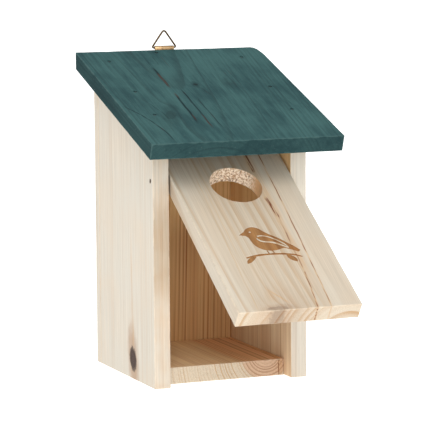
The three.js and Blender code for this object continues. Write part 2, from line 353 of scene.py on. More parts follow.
def grain_group():
    """Year rings round a pith that runs along Z, with fine fibres and flecks along it. Lengths are in metres."""

    def fill(w, given):
        place = w.split(given["Vector"])
        lean_x = w.times_plus(place[2], given["Lean X"], given["Pith X"])
        lean_y = w.times_plus(place[2], given["Lean Y"], given["Pith Y"])
        drift = w.grainy(given["Vector"], 0.16, 26, 2, 0.55, output=1)
        drift = w.split(w.vector("SUBTRACT", drift, Vector((0.5, 0.5, 0.5))))
        x = w.times_plus(drift[0], given["Wander"], w.minus(place[0], lean_x))
        y = w.times_plus(drift[1], given["Wander"], w.minus(place[1], lean_y))
        radius = w.vector("LENGTH", w.join(x, y, 0.0))
        radius = w.plus(radius, given["Bulge"])
        uneven = w.noise(radius, 90, 1, dimensions="1D")
        turn = w.plus(w.math("DIVIDE", radius, given["Spacing"]), w.times(uneven, 1.7))
        year, season = w.math("FLOOR", turn), w.math("FRACT", turn)
        late = w.times(w.smooth(season, 0.30, 0.90), w.smooth(season, 0.90, 1.0, 1.0, 0.0))
        strong = w.put("ShaderNodeTexWhiteNoise", noise_dimensions="1D")
        w.feed(strong.inputs["W"], year)
        strength = w.ramp(strong.outputs["Value"], 0.1, 1.0, 0.16, 1.0)
        fade = w.grainy(given["Vector"], 0.2, 30, 2)
        strength = w.times(strength, w.smooth(fade, 0.25, 0.6, 0.35, 1.0))
        fibre = w.grainy(given["Vector"], 0.012, 1100, 3, 0.6)
        fleck = w.grainy(given["Vector"], 0.05, 1500, 1, 0.5)
        return {
            "Latewood": w.times(late, strength),
            "Radius": radius,
            "Fibre": fibre,
            "Fleck": w.smooth(fleck, 0.70, 0.80),
        }

    inputs = {
        "Pith X": 0.1, "Pith Y": 0.1, "Lean X": 0.0, "Lean Y": 0.0, "Spacing": 0.004, "Wander": 0.002, "Bulge": 0.0,
    }
    return shader_group("year rings", inputs, fill)


def knot_group():
    """A round knot through a board: its core, the ring of bark, the reddish wood round it and its push on the grain."""

    def fill(w, given):
        place = w.split(given["Vector"])
        along = w.minus(place[2], given["Along"])
        across = w.minus(place[0], given["Across"])
        across = w.times_plus(along, given["Slant"], across)
        u = w.math("DIVIDE", across, given["Width"])
        s = w.math("DIVIDE", along, given["Height"])
        rough = w.noise(given["Vector"], 260, 3, 0.6)
        distance = w.vector("LENGTH", w.join(u, s, 0.0))
        distance = w.times_plus(w.minus(rough, 0.5), 0.7, distance)
        stretch = w.vector("LENGTH", w.join(u, w.times(s, 0.55), 0.0))
        soft = w.times_plus(w.minus(w.noise(given["Vector"], 120, 2), 0.5), 0.9, stretch)
        rings = w.math("FRACT", w.times(distance, 3.4))
        push = w.math("EXPONENT", w.times(w.times(stretch, stretch), -0.35))
        bark = w.times(w.smooth(distance, 0.78, 1.0), w.smooth(distance, 1.0, 1.24, 1.0, 0.0))
        return {
            "Core": w.times(w.smooth(distance, 0.82, 1.08, 1.0, 0.0), given["Strength"]),
            "Bark": w.times(bark, given["Strength"]),
            "Halo": w.times(w.smooth(soft, 0.8, 2.3, 1.0, 0.0), w.math("SQRT", given["Strength"])),
            "Rings": rings,
            "Push": w.times(push, given["Bend"]),
        }

    inputs = {
        "Across": 0.0, "Along": 0.0, "Width": 0.008, "Height": 0.010, "Slant": 0.0, "Bend": 0.006, "Strength": 1.0,
    }
    return shader_group("knot", inputs, fill)


def streak_group():
    """A line that follows the grain, from one place along the board to another."""

    def fill(w, given):
        place = w.split(given["Vector"])
        s = w.minus(place[2], given["From"])
        line = w.times_plus(s, given["Lean"], given["Across"])
        line = w.times_plus(w.times(s, s), given["Bow"], line)
        sway = w.minus(w.noise(w.stretched(given["Vector"], 0.2, 1, 1), 38, 2), 0.5)
        line = w.times_plus(sway, 0.0026, line)
        away = w.math("DIVIDE", w.math("ABSOLUTE", w.minus(place[0], line)), given["Width"])
        start = w.plus(given["From"], given["Fade"])
        end = w.minus(given["To"], given["Fade"])
        mask = w.smooth(away, 0.15, 1.0, 1.0, 0.0)
        mask = w.times(mask, w.smooth(place[2], given["From"], start))
        mask = w.times(mask, w.smooth(place[2], end, given["To"], 1.0, 0.0))
        broken = w.grainy(given["Vector"], 0.07, 620, 3)
        mask = w.times(mask, w.smooth(broken, 0.34, 0.58, 0.45, 1.0))
        return {"Mask": w.times(mask, given["Strength"])}

    inputs = {
        "Across": 0.0, "From": 0.0, "To": 0.1, "Lean": 0.0, "Bow": 0.0, "Width": 0.001, "Fade": 0.02, "Strength": 1.0,
    }
    return shader_group("grain streak", inputs, fill)


def wear_group():
    """Where an arris is rubbed, from the distance to it, and the soft blotches of handling."""

    def fill(w, given):
        patchy = w.noise(given["Vector"], 95, 3, 0.6)
        reach = w.times(given["Reach"], w.smooth(patchy, 0.35, 0.7, 0.25, 1.6))
        rub = w.smooth(given["Distance"], 0.0, reach, 1.0, 0.0)
        return {
            "Rubbed": w.times(rub, given["Amount"]),
            "Blotch": w.noise(given["Vector"], 17, 3, 0.55),
            "Dust": w.smooth(w.noise(given["Vector"], 700, 2, 0.6), 0.62, 0.75),
        }

    return shader_group("wear and dust", {"Distance": 1.0, "Reach": 0.001, "Amount": 1.0}, fill)


def tarnish_group():
    """Dull patches, fine brush lines and pits on metal."""

    def fill(w, given):
        patch = w.noise(given["Vector"], given["Patch"], 4, 0.6)
        brushed = w.noise(w.stretched(given["Vector"], 0.06, 1, 1), 4200, 2)
        pits = w.noise(given["Vector"], 2600, 2, 0.6)
        return {
            "Patches": w.smooth(patch, w.minus(given["Amount"], 0.12), w.plus(given["Amount"], 0.12)),
            "Brushed": brushed,
            "Pits": w.smooth(pits, 0.55, 0.72),
        }

    return shader_group("tarnish", {"Patch": 300.0, "Amount": 0.5}, fill)


# ---- Materials ----


def material(name):
    """An empty node material: its wiring, its principled shader and the material."""
    made = bpy.data.materials.new(name)
    made.use_nodes = True
    made.node_tree.nodes.clear()
    w = Wiring(made.node_tree)
    shader = w.put("ShaderNodeBsdfPrincipled")
    output = w.put("ShaderNodeOutputMaterial")
    made.node_tree.links.new(shader.outputs[0], output.inputs[0])
    return made, w, shader


def laid_along(w, across, along, origin):
    """Object coordinates turned to run across the board on X and along its grain on Z. The origin is in millimetres."""
    rows = Matrix((across, along.cross(across), along))
    mapping = w.put("ShaderNodeMapping", vector_type="POINT")
    mapping.inputs["Rotation"].default_value = rows.to_euler("XYZ")
    mapping.inputs["Location"].default_value = -(rows @ (origin * MM))
    w.feed(mapping.inputs["Vector"], w.own_place())
    return mapping.outputs[0]


def bump(w, shader, height, depth):
    """Relief up to a depth in millimetres."""
    node = w.put("ShaderNodeBump")
    node.inputs["Distance"].default_value = depth * MM
    w.feed(node.inputs["Height"], height)
    w.feed(shader.inputs["Normal"], node.outputs[0])


def knots_of(w, place, knots):
    """The knots of one board, as one set of masks."""
    total = None
    for across, along, width, height, slant, bend, strength in knots:
        found = w.group(
            knot_group(), Vector=place, Across=across * MM, Along=along * MM,
            Width=width * MM, Height=height * MM, Slant=slant, Bend=bend * MM, Strength=strength,
        )
        found = {s.name: s for s in found}
        if total is None:
            total = found
        else:
            total = {
                name: w.math("ADD" if name == "Push" else "MAXIMUM", total[name], found[name]) for name in total
            }
    return total


def streaks_of(w, place, streaks):
    """The darkest of several streaks. Lengths are in millimetres, bow is per metre."""
    total = 0.0
    for across, start, end, lean, bow, width, fade, strength in streaks:
        mask = w.group(
            streak_group(), Vector=place, Across=across * MM, From=start * MM, To=end * MM, Lean=lean,
            Bow=bow, Width=width * MM, Fade=fade * MM, Strength=strength,
        )[0]
        total = w.most(total, mask)
    return total


# Browns that no setting changes.
BLOTCH, FLECK, PORE, RUBBED = (0.72, 0.56, 0.40), (0.33, 0.20, 0.12), (0.24, 0.14, 0.08), (0.80, 0.69, 0.53)
KNOT_RING, KNOT_WORN, BARK = (0.035, 0.022, 0.018), (0.20, 0.12, 0.085), (0.045, 0.028, 0.020)
SCORCH, CRACK_AND_PIT_SHADE = (0.20, 0.105, 0.045), (0.085, 0.038, 0.022)
TORN_PALE, TORN_DARK, CUT_ALONG = (0.88, 0.74, 0.58), (0.47, 0.30, 0.18), (0.62, 0.33, 0.15)


def knotted(w, colour, found, blotch):
    """Dead knots: a ringed core that is greyer in blotches, inside a ring of bark."""
    core = bpy.context.scene.nest_box_timber.knot
    core = w.mix(w.smooth(found["Rings"], 0.5, 0.95, 0.0, 0.75), core, KNOT_RING)
    core = w.mix(w.smooth(blotch, 0.4, 0.62, 0.0, 0.55), core, KNOT_WORN)
    colour = w.mix(found["Core"], colour, core)
    return w.mix(w.times(found["Bark"], 0.8), colour, BARK)


def scorched(w, colour, place, late):
    """Burnt wood, darker along the ring lines and in uneven streaks."""
    colour = w.tinted(colour, bpy.context.scene.nest_box_timber.burnt)
    uneven = w.smooth(w.grainy(place, 0.05, 420, 2), 0.40, 0.62)
    return w.mix(w.most(w.times(late, 0.55), w.times(uneven, 0.38)), colour, SCORCH)


def fibrous(w, colour, fibre, lightest):
    """The fine grey of the fibres."""
    grey = w.ramp(fibre, 0.30, 0.72, 0.86, lightest)
    return w.tinted(colour, w.join(grey, grey, grey))


def hole_wall(w, colour, place, end):
    """The wall of the entrance: speckled, cracked end grain where it is torn, with painted shade deeper in its pits,
    amber where it is cut along the grain.
    """
    torn = w.mark("torn")
    in_hole = w.smooth(torn, 0.0, 0.05)
    speckle = w.smooth(w.noise(place, 560, 3, 0.6), 0.44, 0.60)
    crack = w.math("ABSOLUTE", w.minus(w.noise(place, 300, 2, 0.6), 0.5))
    crack = w.times(w.smooth(crack, 0.008, 0.042, 1.0, 0.0), w.smooth(w.noise(place, 90, 1), 0.42, 0.58))
    # Deeper pits are painted towards the crack brown as shade, besides the real dark cracks.
    torn_wood = w.mix(w.most(crack, w.smooth(torn, 0.36, 0.75)), w.mix(speckle, TORN_PALE, TORN_DARK), CRACK_AND_PIT_SHADE)
    bore = w.times(in_hole, w.smooth(end, 0.2, 0.7, 0.35, 1.0))
    colour = w.mix(w.times(bore, 0.9), colour, torn_wood)
    along_cut = w.times(in_hole, w.smooth(end, 0.15, 0.6, 0.8, 0.0))
    amber = bpy.context.scene.nest_box_timber.amber
    return w.mix(along_cut, colour, w.mix(speckle, CUT_ALONG, amber))


def pine(name, across, along, origin, pith, spacing, lean=(0.0, 0.0), wander=2.0, lines=1.0,
         heart=0.0, bold=0.0, knots=(), streaks=(), tint=(1.0, 1.0, 1.0), inner=None, inner_top=None, burn=False):
    """Planed pine. Lengths are in millimetres.

    pith is where the middle of the tree lies, across the board and into it, spacing is one year's growth and heart is
    how far the redder wood reaches. lines and bold are how strongly the rings show on every face and on the inner
    faces. inner and inner_top tint the inner faces, low down and high up: besides the rough wood's own warmer colour,
    these tints are painted shade and painted light on the inner faces, with painted light high up where light comes in.
    """
    colours = bpy.context.scene.nest_box_timber
    made, w, shader = material(name)
    place = laid_along(w, across, along, origin)
    found = knots_of(w, place, knots)
    rings = w.group(
        grain_group(), Vector=place, Pith_X=pith[0] * MM, Pith_Y=pith[1] * MM, Lean_X=lean[0], Lean_Y=lean[1],
        Spacing=spacing * MM, Wander=wander * MM, Bulge=found["Push"] if found else 0.0,
    )
    late, radius, fibre, fleck = rings
    end, inside = w.mark("end"), w.mark("inside")
    worn = w.group(wear_group(), Vector=place, Distance=w.mark("rim"), Reach=1.3 * MM, Amount=0.35)

    late_shown = w.times(late, w.smooth(end, 0.3, 0.8, lines, 1.25), clamp=True)
    colour = w.mix(late_shown, colours.sapwood, colours.latewood)
    colour = w.mix(w.smooth(worn["Blotch"], 0.35, 0.7, 0.0, 0.22), colour, BLOTCH)
    # The tint is weaker on end grain and towards the board's edges.
    off_middle = w.math("ABSOLUTE", w.plus(w.split(place)[0], 8 * MM))
    toned = w.times(w.smooth(end, 0.3, 0.8, 1.0, 0.35), w.smooth(off_middle, 20 * MM, 42 * MM, 1.0, 0.6))
    colour = w.tinted(colour, tint, toned)
    if bold:
        uneven = w.smooth(w.grainy(place, 0.01, 150, 2), 0.36, 0.58, 0.35 * bold, bold)
        colour = w.mix(w.times(late, w.times(inside, uneven)), colour, colours.resin)
        band = w.smooth(w.grainy(place, 0.01, 85, 1), 0.35, 0.65, 0.0, 0.3)
        colour = w.tinted(colour, colours.heartwood, w.times(inside, band))
    if heart:
        red = w.smooth(radius, (heart - 2.5) * MM, (heart + 1.5) * MM, 0.62, 0.0)
        deep = w.mix(late, colours.heartwood, colours.resin)
        colour = w.mix(red, colour, deep)
    streak = streaks_of(w, place, streaks)
    if found:
        colour = w.tinted(colour, colours.heartwood, w.times(found["Halo"], 0.62))
    colour = w.mix(streak, colour, w.mix(w.smooth(streak, 0.42, 0.8), colours.amber, colours.resin))
    if found:
        colour = knotted(w, colour, found, worn["Blotch"])
    if burn:
        colour = scorched(w, colour, place, late)
    colour = fibrous(w, colour, fibre, 1.06)
    colour = w.mix(w.times(fleck, 0.30), colour, FLECK)
    end_tint = w.tinted(colour, (0.96, 0.90, 0.82))
    colour = w.mix(w.smooth(end, 0.35, 0.85, 0.0, 0.8), colour, end_tint)
    pores = w.smooth(w.noise(place, 1900, 2, 0.6), 0.55, 0.70, 0.0, 0.5)
    colour = w.mix(w.times(pores, end), colour, PORE)
    colour = hole_wall(w, colour, place, end)
    # Painted light and shade: the inner faces are tinted darker or brighter than the wood, and brighter high up.
    shaded = inner or colours.inside
    if inner_top:
        shaded = w.mix(w.smooth(w.split(place)[2], 100 * MM, 150 * MM), shaded, inner_top)
    colour = w.mix(inside, colour, w.tinted(colour, shaded))
    colour = w.mix(worn["Rubbed"], colour, RUBBED)
    w.feed(shader.inputs["Base Color"], colour)

    rough = w.ramp(late, 0.0, 1.0, 0.72, 0.56)
    rough = w.plus(rough, w.times(end, 0.15), clamp=True)
    w.feed(shader.inputs["Roughness"], rough)
    shader.inputs["Specular IOR Level"].default_value = 0.22
    relief = w.times_plus(fibre, 0.35, w.times(late, 0.5))
    relief = w.times_plus(w.noise(place, 1500, 3, 0.65), w.times(end, 1.6), relief)
    relief = w.minus(relief, w.times(streak, 0.4))
    if found:
        relief = w.minus(relief, w.times(found["Bark"], 1.2))
    bump(w, shader, relief, 0.10)
    return made


def stained_roof():
    """Petrol stain over pine: the grain shows through, resin lines and knots take it darkest."""
    colours = bpy.context.scene.nest_box_stain
    made, w, shader = material("stained pine")
    place = laid_along(w, X, UP_ROOF, ROOF_ORIGIN)
    knots = [
        (-3.4, 117, 2.2, 2.4, 0.0, 3.0, 1.0),
        (-49, 56, 5.0, 9, -0.35, 3.0, 0.35),
        (28, 117, 4.0, 4.0, 0.0, 2.0, 0.15),
    ]
    found = knots_of(w, place, knots)
    rings = w.group(
        grain_group(), Vector=place, Pith_X=-28 * MM, Pith_Y=64 * MM, Lean_X=0.05, Lean_Y=-0.05,
        Spacing=3.4 * MM, Wander=2.6 * MM, Bulge=found["Push"],
    )
    late, _, fibre, fleck = rings
    streaks = [
        (-31.2, 34, 104, 0.030, 0.0, 1.5, 14, 0.95),
        (-28.6, 108, 160, 0.0, 0.0, 1.9, 12, 0.90),
        (-28.6, 158, 182, 0.0, 0.0, 0.8, 8, 0.35),
        (-21.8, 24, 112, 0.018, 0.0, 1.2, 14, 0.80),
        (-13.2, 20, 94, 0.004, 0.0, 1.1, 14, 0.55),
        (-20.2, 160, 184, 0.0, 0.0, 0.7, 6, 0.5),
        (-12.2, 154, 182, 0.0, 0.0, 0.6, 6, 0.35),
        (-64.0, 4, 80, -0.02, -3.3, 1.1, 10, 0.70),
        (-54.0, 40, 96, 0.05, -4.2, 0.8, 14, 0.35),
        (33.0, 108, 146, 0.0, 0.0, 0.6, 10, 0.35),
        (38.0, 112, 150, 0.0, 0.0, 0.6, 10, 0.35),
        (46.0, 96, 138, 0.0, 0.0, 0.6, 10, 0.25),
        (2.0, 92, 112, -0.16, 0.0, 1.4, 8, 0.45),
    ]
    streak = w.ramp(streaks_of(w, place, streaks), 0.0, 0.75)
    end = w.mark("end")
    worn = w.group(wear_group(), Vector=place, Distance=w.mark("rim"), Reach=1.4 * MM, Amount=0.55)
    soak = w.grainy(place, 0.5, 30, 4, 0.6)
    thin = w.grainy(place, 0.10, 160, 3, 0.6)
    soak = w.times_plus(thin, 0.45, w.times(soak, 0.75))
    colour = w.mix(w.smooth(soak, 0.42, 0.74), colours.deep, colours.light)
    colour = w.mix(w.times(late, 0.42), colour, colours.dark)
    colour = fibrous(w, colour, fibre, 1.10)
    colour = w.mix(w.times(streak, 0.92), colour, colours.dark)
    rusty = w.smooth(w.grainy(place, 0.2, 120, 2), 0.5, 0.62, 0.0, 0.30)
    colour = w.mix(w.times(streak, rusty), colour, (0.16, 0.060, 0.032))
    colour = w.mix(w.times(found["Halo"], 0.45), colour, colours.dark)
    colour = w.mix(w.times(found["Core"], 0.85), colour, (0.014, 0.026, 0.028))
    colour = w.mix(w.times(fleck, 0.30), colour, colours.dark)
    colour = w.mix(w.smooth(end, 0.35, 0.85, 0.0, 0.55), colour, colours.dark)
    colour = w.mix(w.times(w.mark("inside"), 0.55), colour, colours.dark)
    colour = w.mix(worn["Rubbed"], colour, colours.worn)
    colour = w.mix(w.times(worn["Dust"], 0.08), colour, (0.40, 0.42, 0.40))
    w.feed(shader.inputs["Base Color"], colour)
    rough = w.ramp(soak, 0.4, 0.8, 0.74, 0.90)
    w.feed(shader.inputs["Roughness"], w.times_plus(late, -0.08, rough))
    shader.inputs["Specular IOR Level"].default_value = 0.10
    shader.inputs["IOR"].default_value = 1.3
    relief = w.times_plus(fibre, 0.45, w.times(late, 0.6))
    relief = w.times_plus(w.noise(place, 1300, 3, 0.65), w.times(end, 1.2), relief)
    relief = w.minus(relief, w.times(streak, 0.9))
    bump(w, shader, relief, 0.11)
    return made


def rusty_steel():
    colours = bpy.context.scene.nest_box_metal
    made, w, shader = material("rusty steel")
    place = w.own_place()
    found = w.group(tarnish_group(), Vector=place, Patch=900.0, Amount=0.44)
    colour = w.mix(found["Patches"], colours.steel, colours.rust)
    colour = w.mix(w.times(found["Pits"], 0.7), colour, (0.035, 0.020, 0.015))
    w.feed(shader.inputs["Base Color"], colour)
    w.feed(shader.inputs["Metallic"], w.ramp(found["Patches"], 0.2, 0.8, 0.5, 0.1))
    shader.inputs["Specular IOR Level"].default_value = 0.2
    w.feed(shader.inputs["Roughness"], w.ramp(found["Patches"], 0.0, 1.0, 0.55, 0.85))
    bump(w, shader, w.plus(found["Patches"], found["Pits"]), 0.05)
    return made


def plated(name, bright, roughness, patch, amount, crest=None):
    """Brass plating with fine brush lines and patches that are duller, and painted dark bands of shade and reflection
    just under a crest at a height in millimetres and lower down.
    """
    colours = bpy.context.scene.nest_box_metal
    made, w, shader = material(name)
    place = w.own_place()
    found = w.group(tarnish_group(), Vector=place, Patch=patch, Amount=amount)
    colour = w.mix(w.times(found["Patches"], 0.65), bright, colours.tarnish)
    colour = w.mix(w.times(found["Pits"], 0.35), colour, (0.10, 0.06, 0.035))
    # Painted shade and dark reflection: a dark line just under the crest and a darker band lower down.
    if crest is not None:
        under = w.minus(crest * MM, w.split(place)[2])
        painted_dark_bands = w.most(w.smooth(under, 0.25 * MM, 0.9 * MM, 0.9, 0.0), w.smooth(under, 1.9 * MM, 3.2 * MM, 0.0, 0.55))
        colour = w.mix(painted_dark_bands, colour, w.tinted(colours.tarnish, (0.34, 0.32, 0.30)))
    w.feed(shader.inputs["Base Color"], colour)
    rough = w.times_plus(found["Patches"], 0.22, roughness)
    w.feed(shader.inputs["Roughness"], w.times_plus(found["Brushed"], 0.10, rough))
    shader.inputs["Metallic"].default_value = 1.0
    bump(w, shader, w.times_plus(found["Pits"], -0.8, found["Brushed"]), 0.02)
    return made


# ---- Making boards, in millimetres ----


def plain_board(node, turn=None):
    """A board's own outline without its holes, and the point and normal of each of its faces."""
    bm = bmesh.new()
    for p in node_points(node, turn):
        bm.verts.new(p)
    made = bmesh.ops.convex_hull(bm, input=bm.verts)
    spare = {v for v in made["geom_interior"] + made["geom_unused"] if isinstance(v, bmesh.types.BMVert)}
    bmesh.ops.delete(bm, geom=list(spare), context="VERTS")
    bmesh.ops.dissolve_limit(bm, angle_limit=math.radians(2), verts=bm.verts, edges=bm.edges)
    bmesh.ops.recalc_face_normals(bm, faces=bm.faces)
    return bm, [(f.calc_center_median().copy(), f.normal.copy()) for f in bm.faces]


def slice_off(bm, point, outwards):
    """Saws off what lies beyond a plane and closes the cut."""
    everything = bm.verts[:] + bm.edges[:] + bm.faces[:]
    cut = bmesh.ops.bisect_plane(bm, geom=everything, plane_co=point, plane_no=outwards, clear_outer=True)
    rim = [e for e in cut["geom_cut"] if isinstance(e, bmesh.types.BMEdge)]
    bmesh.ops.contextual_create(bm, geom=rim)


def depths(co, planes):
    """How deep each point lies under each plane, nearest plane first."""
    under = np.stack([(np.array(p) - co) @ np.array(n) for p, n in planes], 1)
    return np.sort(under, 1), np.argsort(under, 1)


LOOPS = (1.5, 4.0, 8.0)  # loops of edges inside every arris
SHARP_ARRIS = math.radians(25)
WARP_SPAN, KNOCK_SPAN, NICK_SPAN = 55, 11, 3.1  # how far apart the hollows, knocks and nicks lie


def finish_board(name, bm, planes, grid, apart, arris=None):
    """Rounds the arrises, divides the faces into cells, warps them and dents the arrises, each board its own way."""
    sizes = bpy.context.scene.nest_box_boards
    arris, cell = (arris or sizes.arris) / MM, sizes.cell / MM
    sharp = [e for e in bm.edges if e.is_manifold and e.calc_face_angle() > SHARP_ARRIS]
    bmesh.ops.bevel(
        bm, geom=sharp, offset=arris, offset_type="OFFSET", segments=3, profile=0.5, affect="EDGES", clamp_overlap=True
    )

    def divide(point, normal):
        geom = bm.verts[:] + bm.edges[:] + bm.faces[:]
        bmesh.ops.bisect_plane(bm, geom=geom, plane_co=point, plane_no=normal)

    for point, normal in planes:
        for inset in LOOPS:
            divide(point - normal * inset, normal)
    for direction in grid:
        reach = [v.co.dot(direction) for v in bm.verts]
        low, high = min(reach) + LOOPS[-1], max(reach) - LOOPS[-1]
        count = max(1, round((high - low) / cell))
        for i in range(1, count):
            divide(direction * (low + (high - low) * i / count), direction)
    near, which = depths(np.array([v.co for v in bm.verts]), planes)
    normals = np.array([n for _, n in planes])
    wear, warp = sizes.wear / MM, sizes.warp / MM
    for v, d, k in zip(bm.verts, near, which):
        spot = v.co + apart + Z * sizes.seed
        inward = -Vector(normals[k[0]])
        if d[0] < 0.5 * arris:
            v.co += inward * warp * max(0.0, noise.noise(spot / WARP_SPAN) + 0.5)
        if d[1] < 1.2 * arris:
            knocks = max(0.0, noise.noise(spot / KNOCK_SPAN) - 0.05) ** 1.5
            nicks = 0.35 * max(0.0, noise.noise(spot / NICK_SPAN) - 0.2)
            v.co += (inward - Vector(normals[k[1]])).normalized() * wear * (knocks + nicks)
    return to_object(name, bm)


def to_object(name, bm):
    mesh = bpy.data.meshes.new(name)
    bm.to_mesh(mesh)
    bm.free()
    made = bpy.data.objects.new(name, mesh)
    bpy.context.scene.collection.objects.link(made)
    return made


def close_skin(bm, rows):
    """Closes rings of points, one after another, into a skin with both ends capped."""
    for lower, upper in zip(rows, rows[1:]):
        for i in range(len(lower)):
            k = (i + 1) % len(lower)
            bm.faces.new((lower[i], lower[k], upper[k], upper[i]))
    bm.faces.new(list(reversed(rows[0])))
    bm.faces.new(rows[-1])
    bmesh.ops.recalc_face_normals(bm, faces=bm.faces)
    return bm


def around(side, other, count):
    """Directions round a circle, from side towards other."""
    turns = (2 * math.pi * i / count for i in range(count))
    return [side * math.cos(a) + other * math.sin(a) for a in turns]


def as_plain_mesh(made):
    """Applies every modifier."""
    view = bpy.context.evaluated_depsgraph_get()
    mesh = bpy.data.meshes.new_from_object(made.evaluated_get(view))
    made.modifiers.clear()
    made.data = mesh
    return made


def carve(board, *cutters):
    """Cuts each cutter's shape out of the board and throws the cutter away."""
    for cutter in cutters:
        cut = board.modifiers.new(cutter.name, "BOOLEAN")
        cut.operation, cut.solver, cut.object = "DIFFERENCE", "EXACT", cutter
    as_plain_mesh(board)
    for cutter in cutters:
        bpy.data.objects.remove(cutter)
    return board


def mark_board(board, planes, grain, inside=None, torn=None):
    """Writes on the mesh how far each point is from an arris, and whether it is end grain, an inner face or torn."""
    mesh = board.data
    count = len(mesh.vertices)
    co, normal = np.zeros(count * 3), np.zeros(count * 3)
    mesh.vertices.foreach_get("co", co)
    mesh.vertex_normals.foreach_get("vector", normal)
    co, normal = co.reshape(-1, 3), normal.reshape(-1, 3)
    near, _ = depths(co, planes)
    values = {
        "rim": np.clip(near[:, 1], 0, LOOPS[-1]) * MM,
        "end": np.abs(normal @ np.array(grain)),
        "inside": np.zeros(count) if inside is None else inside(co, normal),
        "torn": np.zeros(count) if torn is None else torn(co),
    }
    for name, value in values.items():
        mark = mesh.attributes.new(name, "FLOAT", "POINT")
        mark.data.foreach_set("value", value.astype(np.float32))


def facing(direction, amount=1.0):
    """A mark on the faces that look one way."""
    return lambda co, normal: amount * np.clip(normal @ np.array(direction), 0, 1) ** 4


def hand_over(made, nodes, body, slot, crease=50):
    """Smooths a finished piece up to its creases and gives it to its body, in place of its nodes."""
    made.data.shade_smooth()
    made.data.set_sharp_from_angle(angle=math.radians(crease))
    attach(made, body)
    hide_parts(*nodes)


def place_board(board, nodes, body, slot, materials, turn=None):
    """Brings a finished board to metres at rest and hands it over."""
    if turn is not None:
        board.data.transform(turn)
    board.data.transform(Matrix.Scale(MM, 4))
    kept = np.zeros(len(board.data.polygons), np.int32)
    board.data.polygons.foreach_get("material_index", kept)
    board.data.materials.clear()
    for item in materials:
        board.data.materials.append(item)
    board.data.polygons.foreach_set("material_index", kept)
    weigh = board.modifiers.new("even shading", "WEIGHTED_NORMAL")
    weigh.keep_sharp = True
    hand_over(board, nodes, body, slot, crease=38)


POCKET_SIDES = 24


def nail_pockets(nodes, out, depth, below, spread=0.25):
    """Small craters round nail heads whose crowns lie deep in the wood and reach some way below the crowns."""
    bm = bmesh.new()
    profile = [(0.3, -depth - below), (0.12, -depth * 0.35), (spread, 0.02), (spread + 0.3, 1.5)]
    for node in nodes:
        low, high = node_box(node)
        middle = (low + high) / 2
        radius = min((high - low)[i] for i in range(3) if not out[i]) / 2
        top = middle + out * ((high - middle).dot(out) if sum(out) > 0 else (low - middle).dot(out))
        side = Vector((out.z, out.x, out.y))
        rows = []
        for wider, height in profile:
            centre = top + out * (height + depth)
            row = []
            for i, way in enumerate(around(side, out.cross(side), POCKET_SIDES)):
                ragged = 0.08 * noise.noise(Vector((i * 0.8, height, radius * 9)))
                row.append(bm.verts.new(centre + way * (radius + wider + ragged)))
            rows.append(row)
        close_skin(bm, rows)
    return to_object("pockets", bm)


# ---- The entrance hole and the motif ----

ENTRANCE_SIDES, ENTRANCE_ROWS = 400, 46
OVERCUT = 1.2  # how far the hole saw runs past each face


def entrance_cutter(fuzz):
    """The waste of a hole saw: torn on end grain, smooth along the grain, with a frayed rim."""
    y0, y1 = DOOR_LOW.y - OVERCUT, DOOR_HIGH.y + OVERCUT
    bm = bmesh.new()
    rows = []
    for j in range(ENTRANCE_ROWS + 1):
        y = y0 + (y1 - y0) * j / ENTRANCE_ROWS
        rim = min(abs(y - DOOR_LOW.y), abs(y - DOOR_HIGH.y))
        row = []
        for way in around(X, Z, ENTRANCE_SIDES):
            spot = way * ENTRANCE_RADIUS + Y * y
            torn = abs(way.z) ** 1.5
            rough = 0.5 + 0.5 * noise.noise(spot / 1.6) + 0.4 * noise.noise(spot / 0.7)
            pit = max(0.0, noise.noise(spot / 1.35 + Vector((9, 4, 2))) - 0.22) * 2.6
            lump = max(0.0, noise.noise(spot / 6.0))
            across_grain = 0.35 * rough + 0.95 * pit + 0.4 * lump
            along_grain = 0.06 * rough + 0.15 * pit + 0.12 * lump
            grow = torn * across_grain + (1 - torn) * along_grain
            fray = math.exp(-((rim / 0.55) ** 2)) * (0.35 + 0.65 * max(0.0, noise.noise(spot / 2.2)))
            reach = ENTRANCE_RADIUS - 0.08 + fuzz * grow + 0.40 * fray
            row.append(bm.verts.new((ENTRANCE.x + reach * way.x, y, ENTRANCE.z + reach * way.z)))
        rows.append(row)
    return to_object("entrance", close_skin(bm, rows))


MOTIF_DROP = 121  # middle of the motif below the door's top
MOTIF_PROUD = 0.6  # how far the motif's cutters stand proud of the face
BIRD = [
    (-20.5, 9.4), (-15.5, 13.0), (-11.5, 17.0), (-6.0, 18.6), (-1.2, 16.6), (2.6, 12.0), (7.0, 7.6),
    (12.5, 3.0), (17.5, -2.6), (22.5, -8.2), (26.0, -13.4), (23.4, -15.0), (17.5, -11.4), (12.0, -9.6),
    (6.5, -11.4), (0.0, -11.8), (-6.5, -9.6), (-11.0, -4.6), (-12.6, 1.0), (-13.4, 5.6), (-15.4, 8.2),
]
WING_GAP = [
    (-5.2, 6.2), (-1.0, 6.6), (4.2, 4.6), (9.6, 0.4), (14.4, -5.0), (16.2, -8.2), (12.0, -4.6), (7.0, -1.4),
    (1.6, 0.0), (-3.0, 1.0), (-5.6, 3.6), (-6.4, 5.2), (-6.7, 3.0), (-4.6, 0.2), (-0.4, -1.4), (5.6, -2.8),
    (11.2, -6.4), (16.6, -9.8), (17.4, -8.8), (15.4, -4.2), (10.2, 1.6), (4.6, 5.8), (-1.0, 7.8), (-5.6, 7.4),
]
TWIG = [
    (-24.0, -19.6), (-14.0, -17.8), (-4.0, -17.0), (8.0, -17.4), (18.0, -19.2), (24.5, -21.8), (24.9, -20.8),
    (18.4, -17.4), (8.0, -15.4), (-4.0, -15.0), (-14.0, -15.6), (-23.8, -18.0),
]
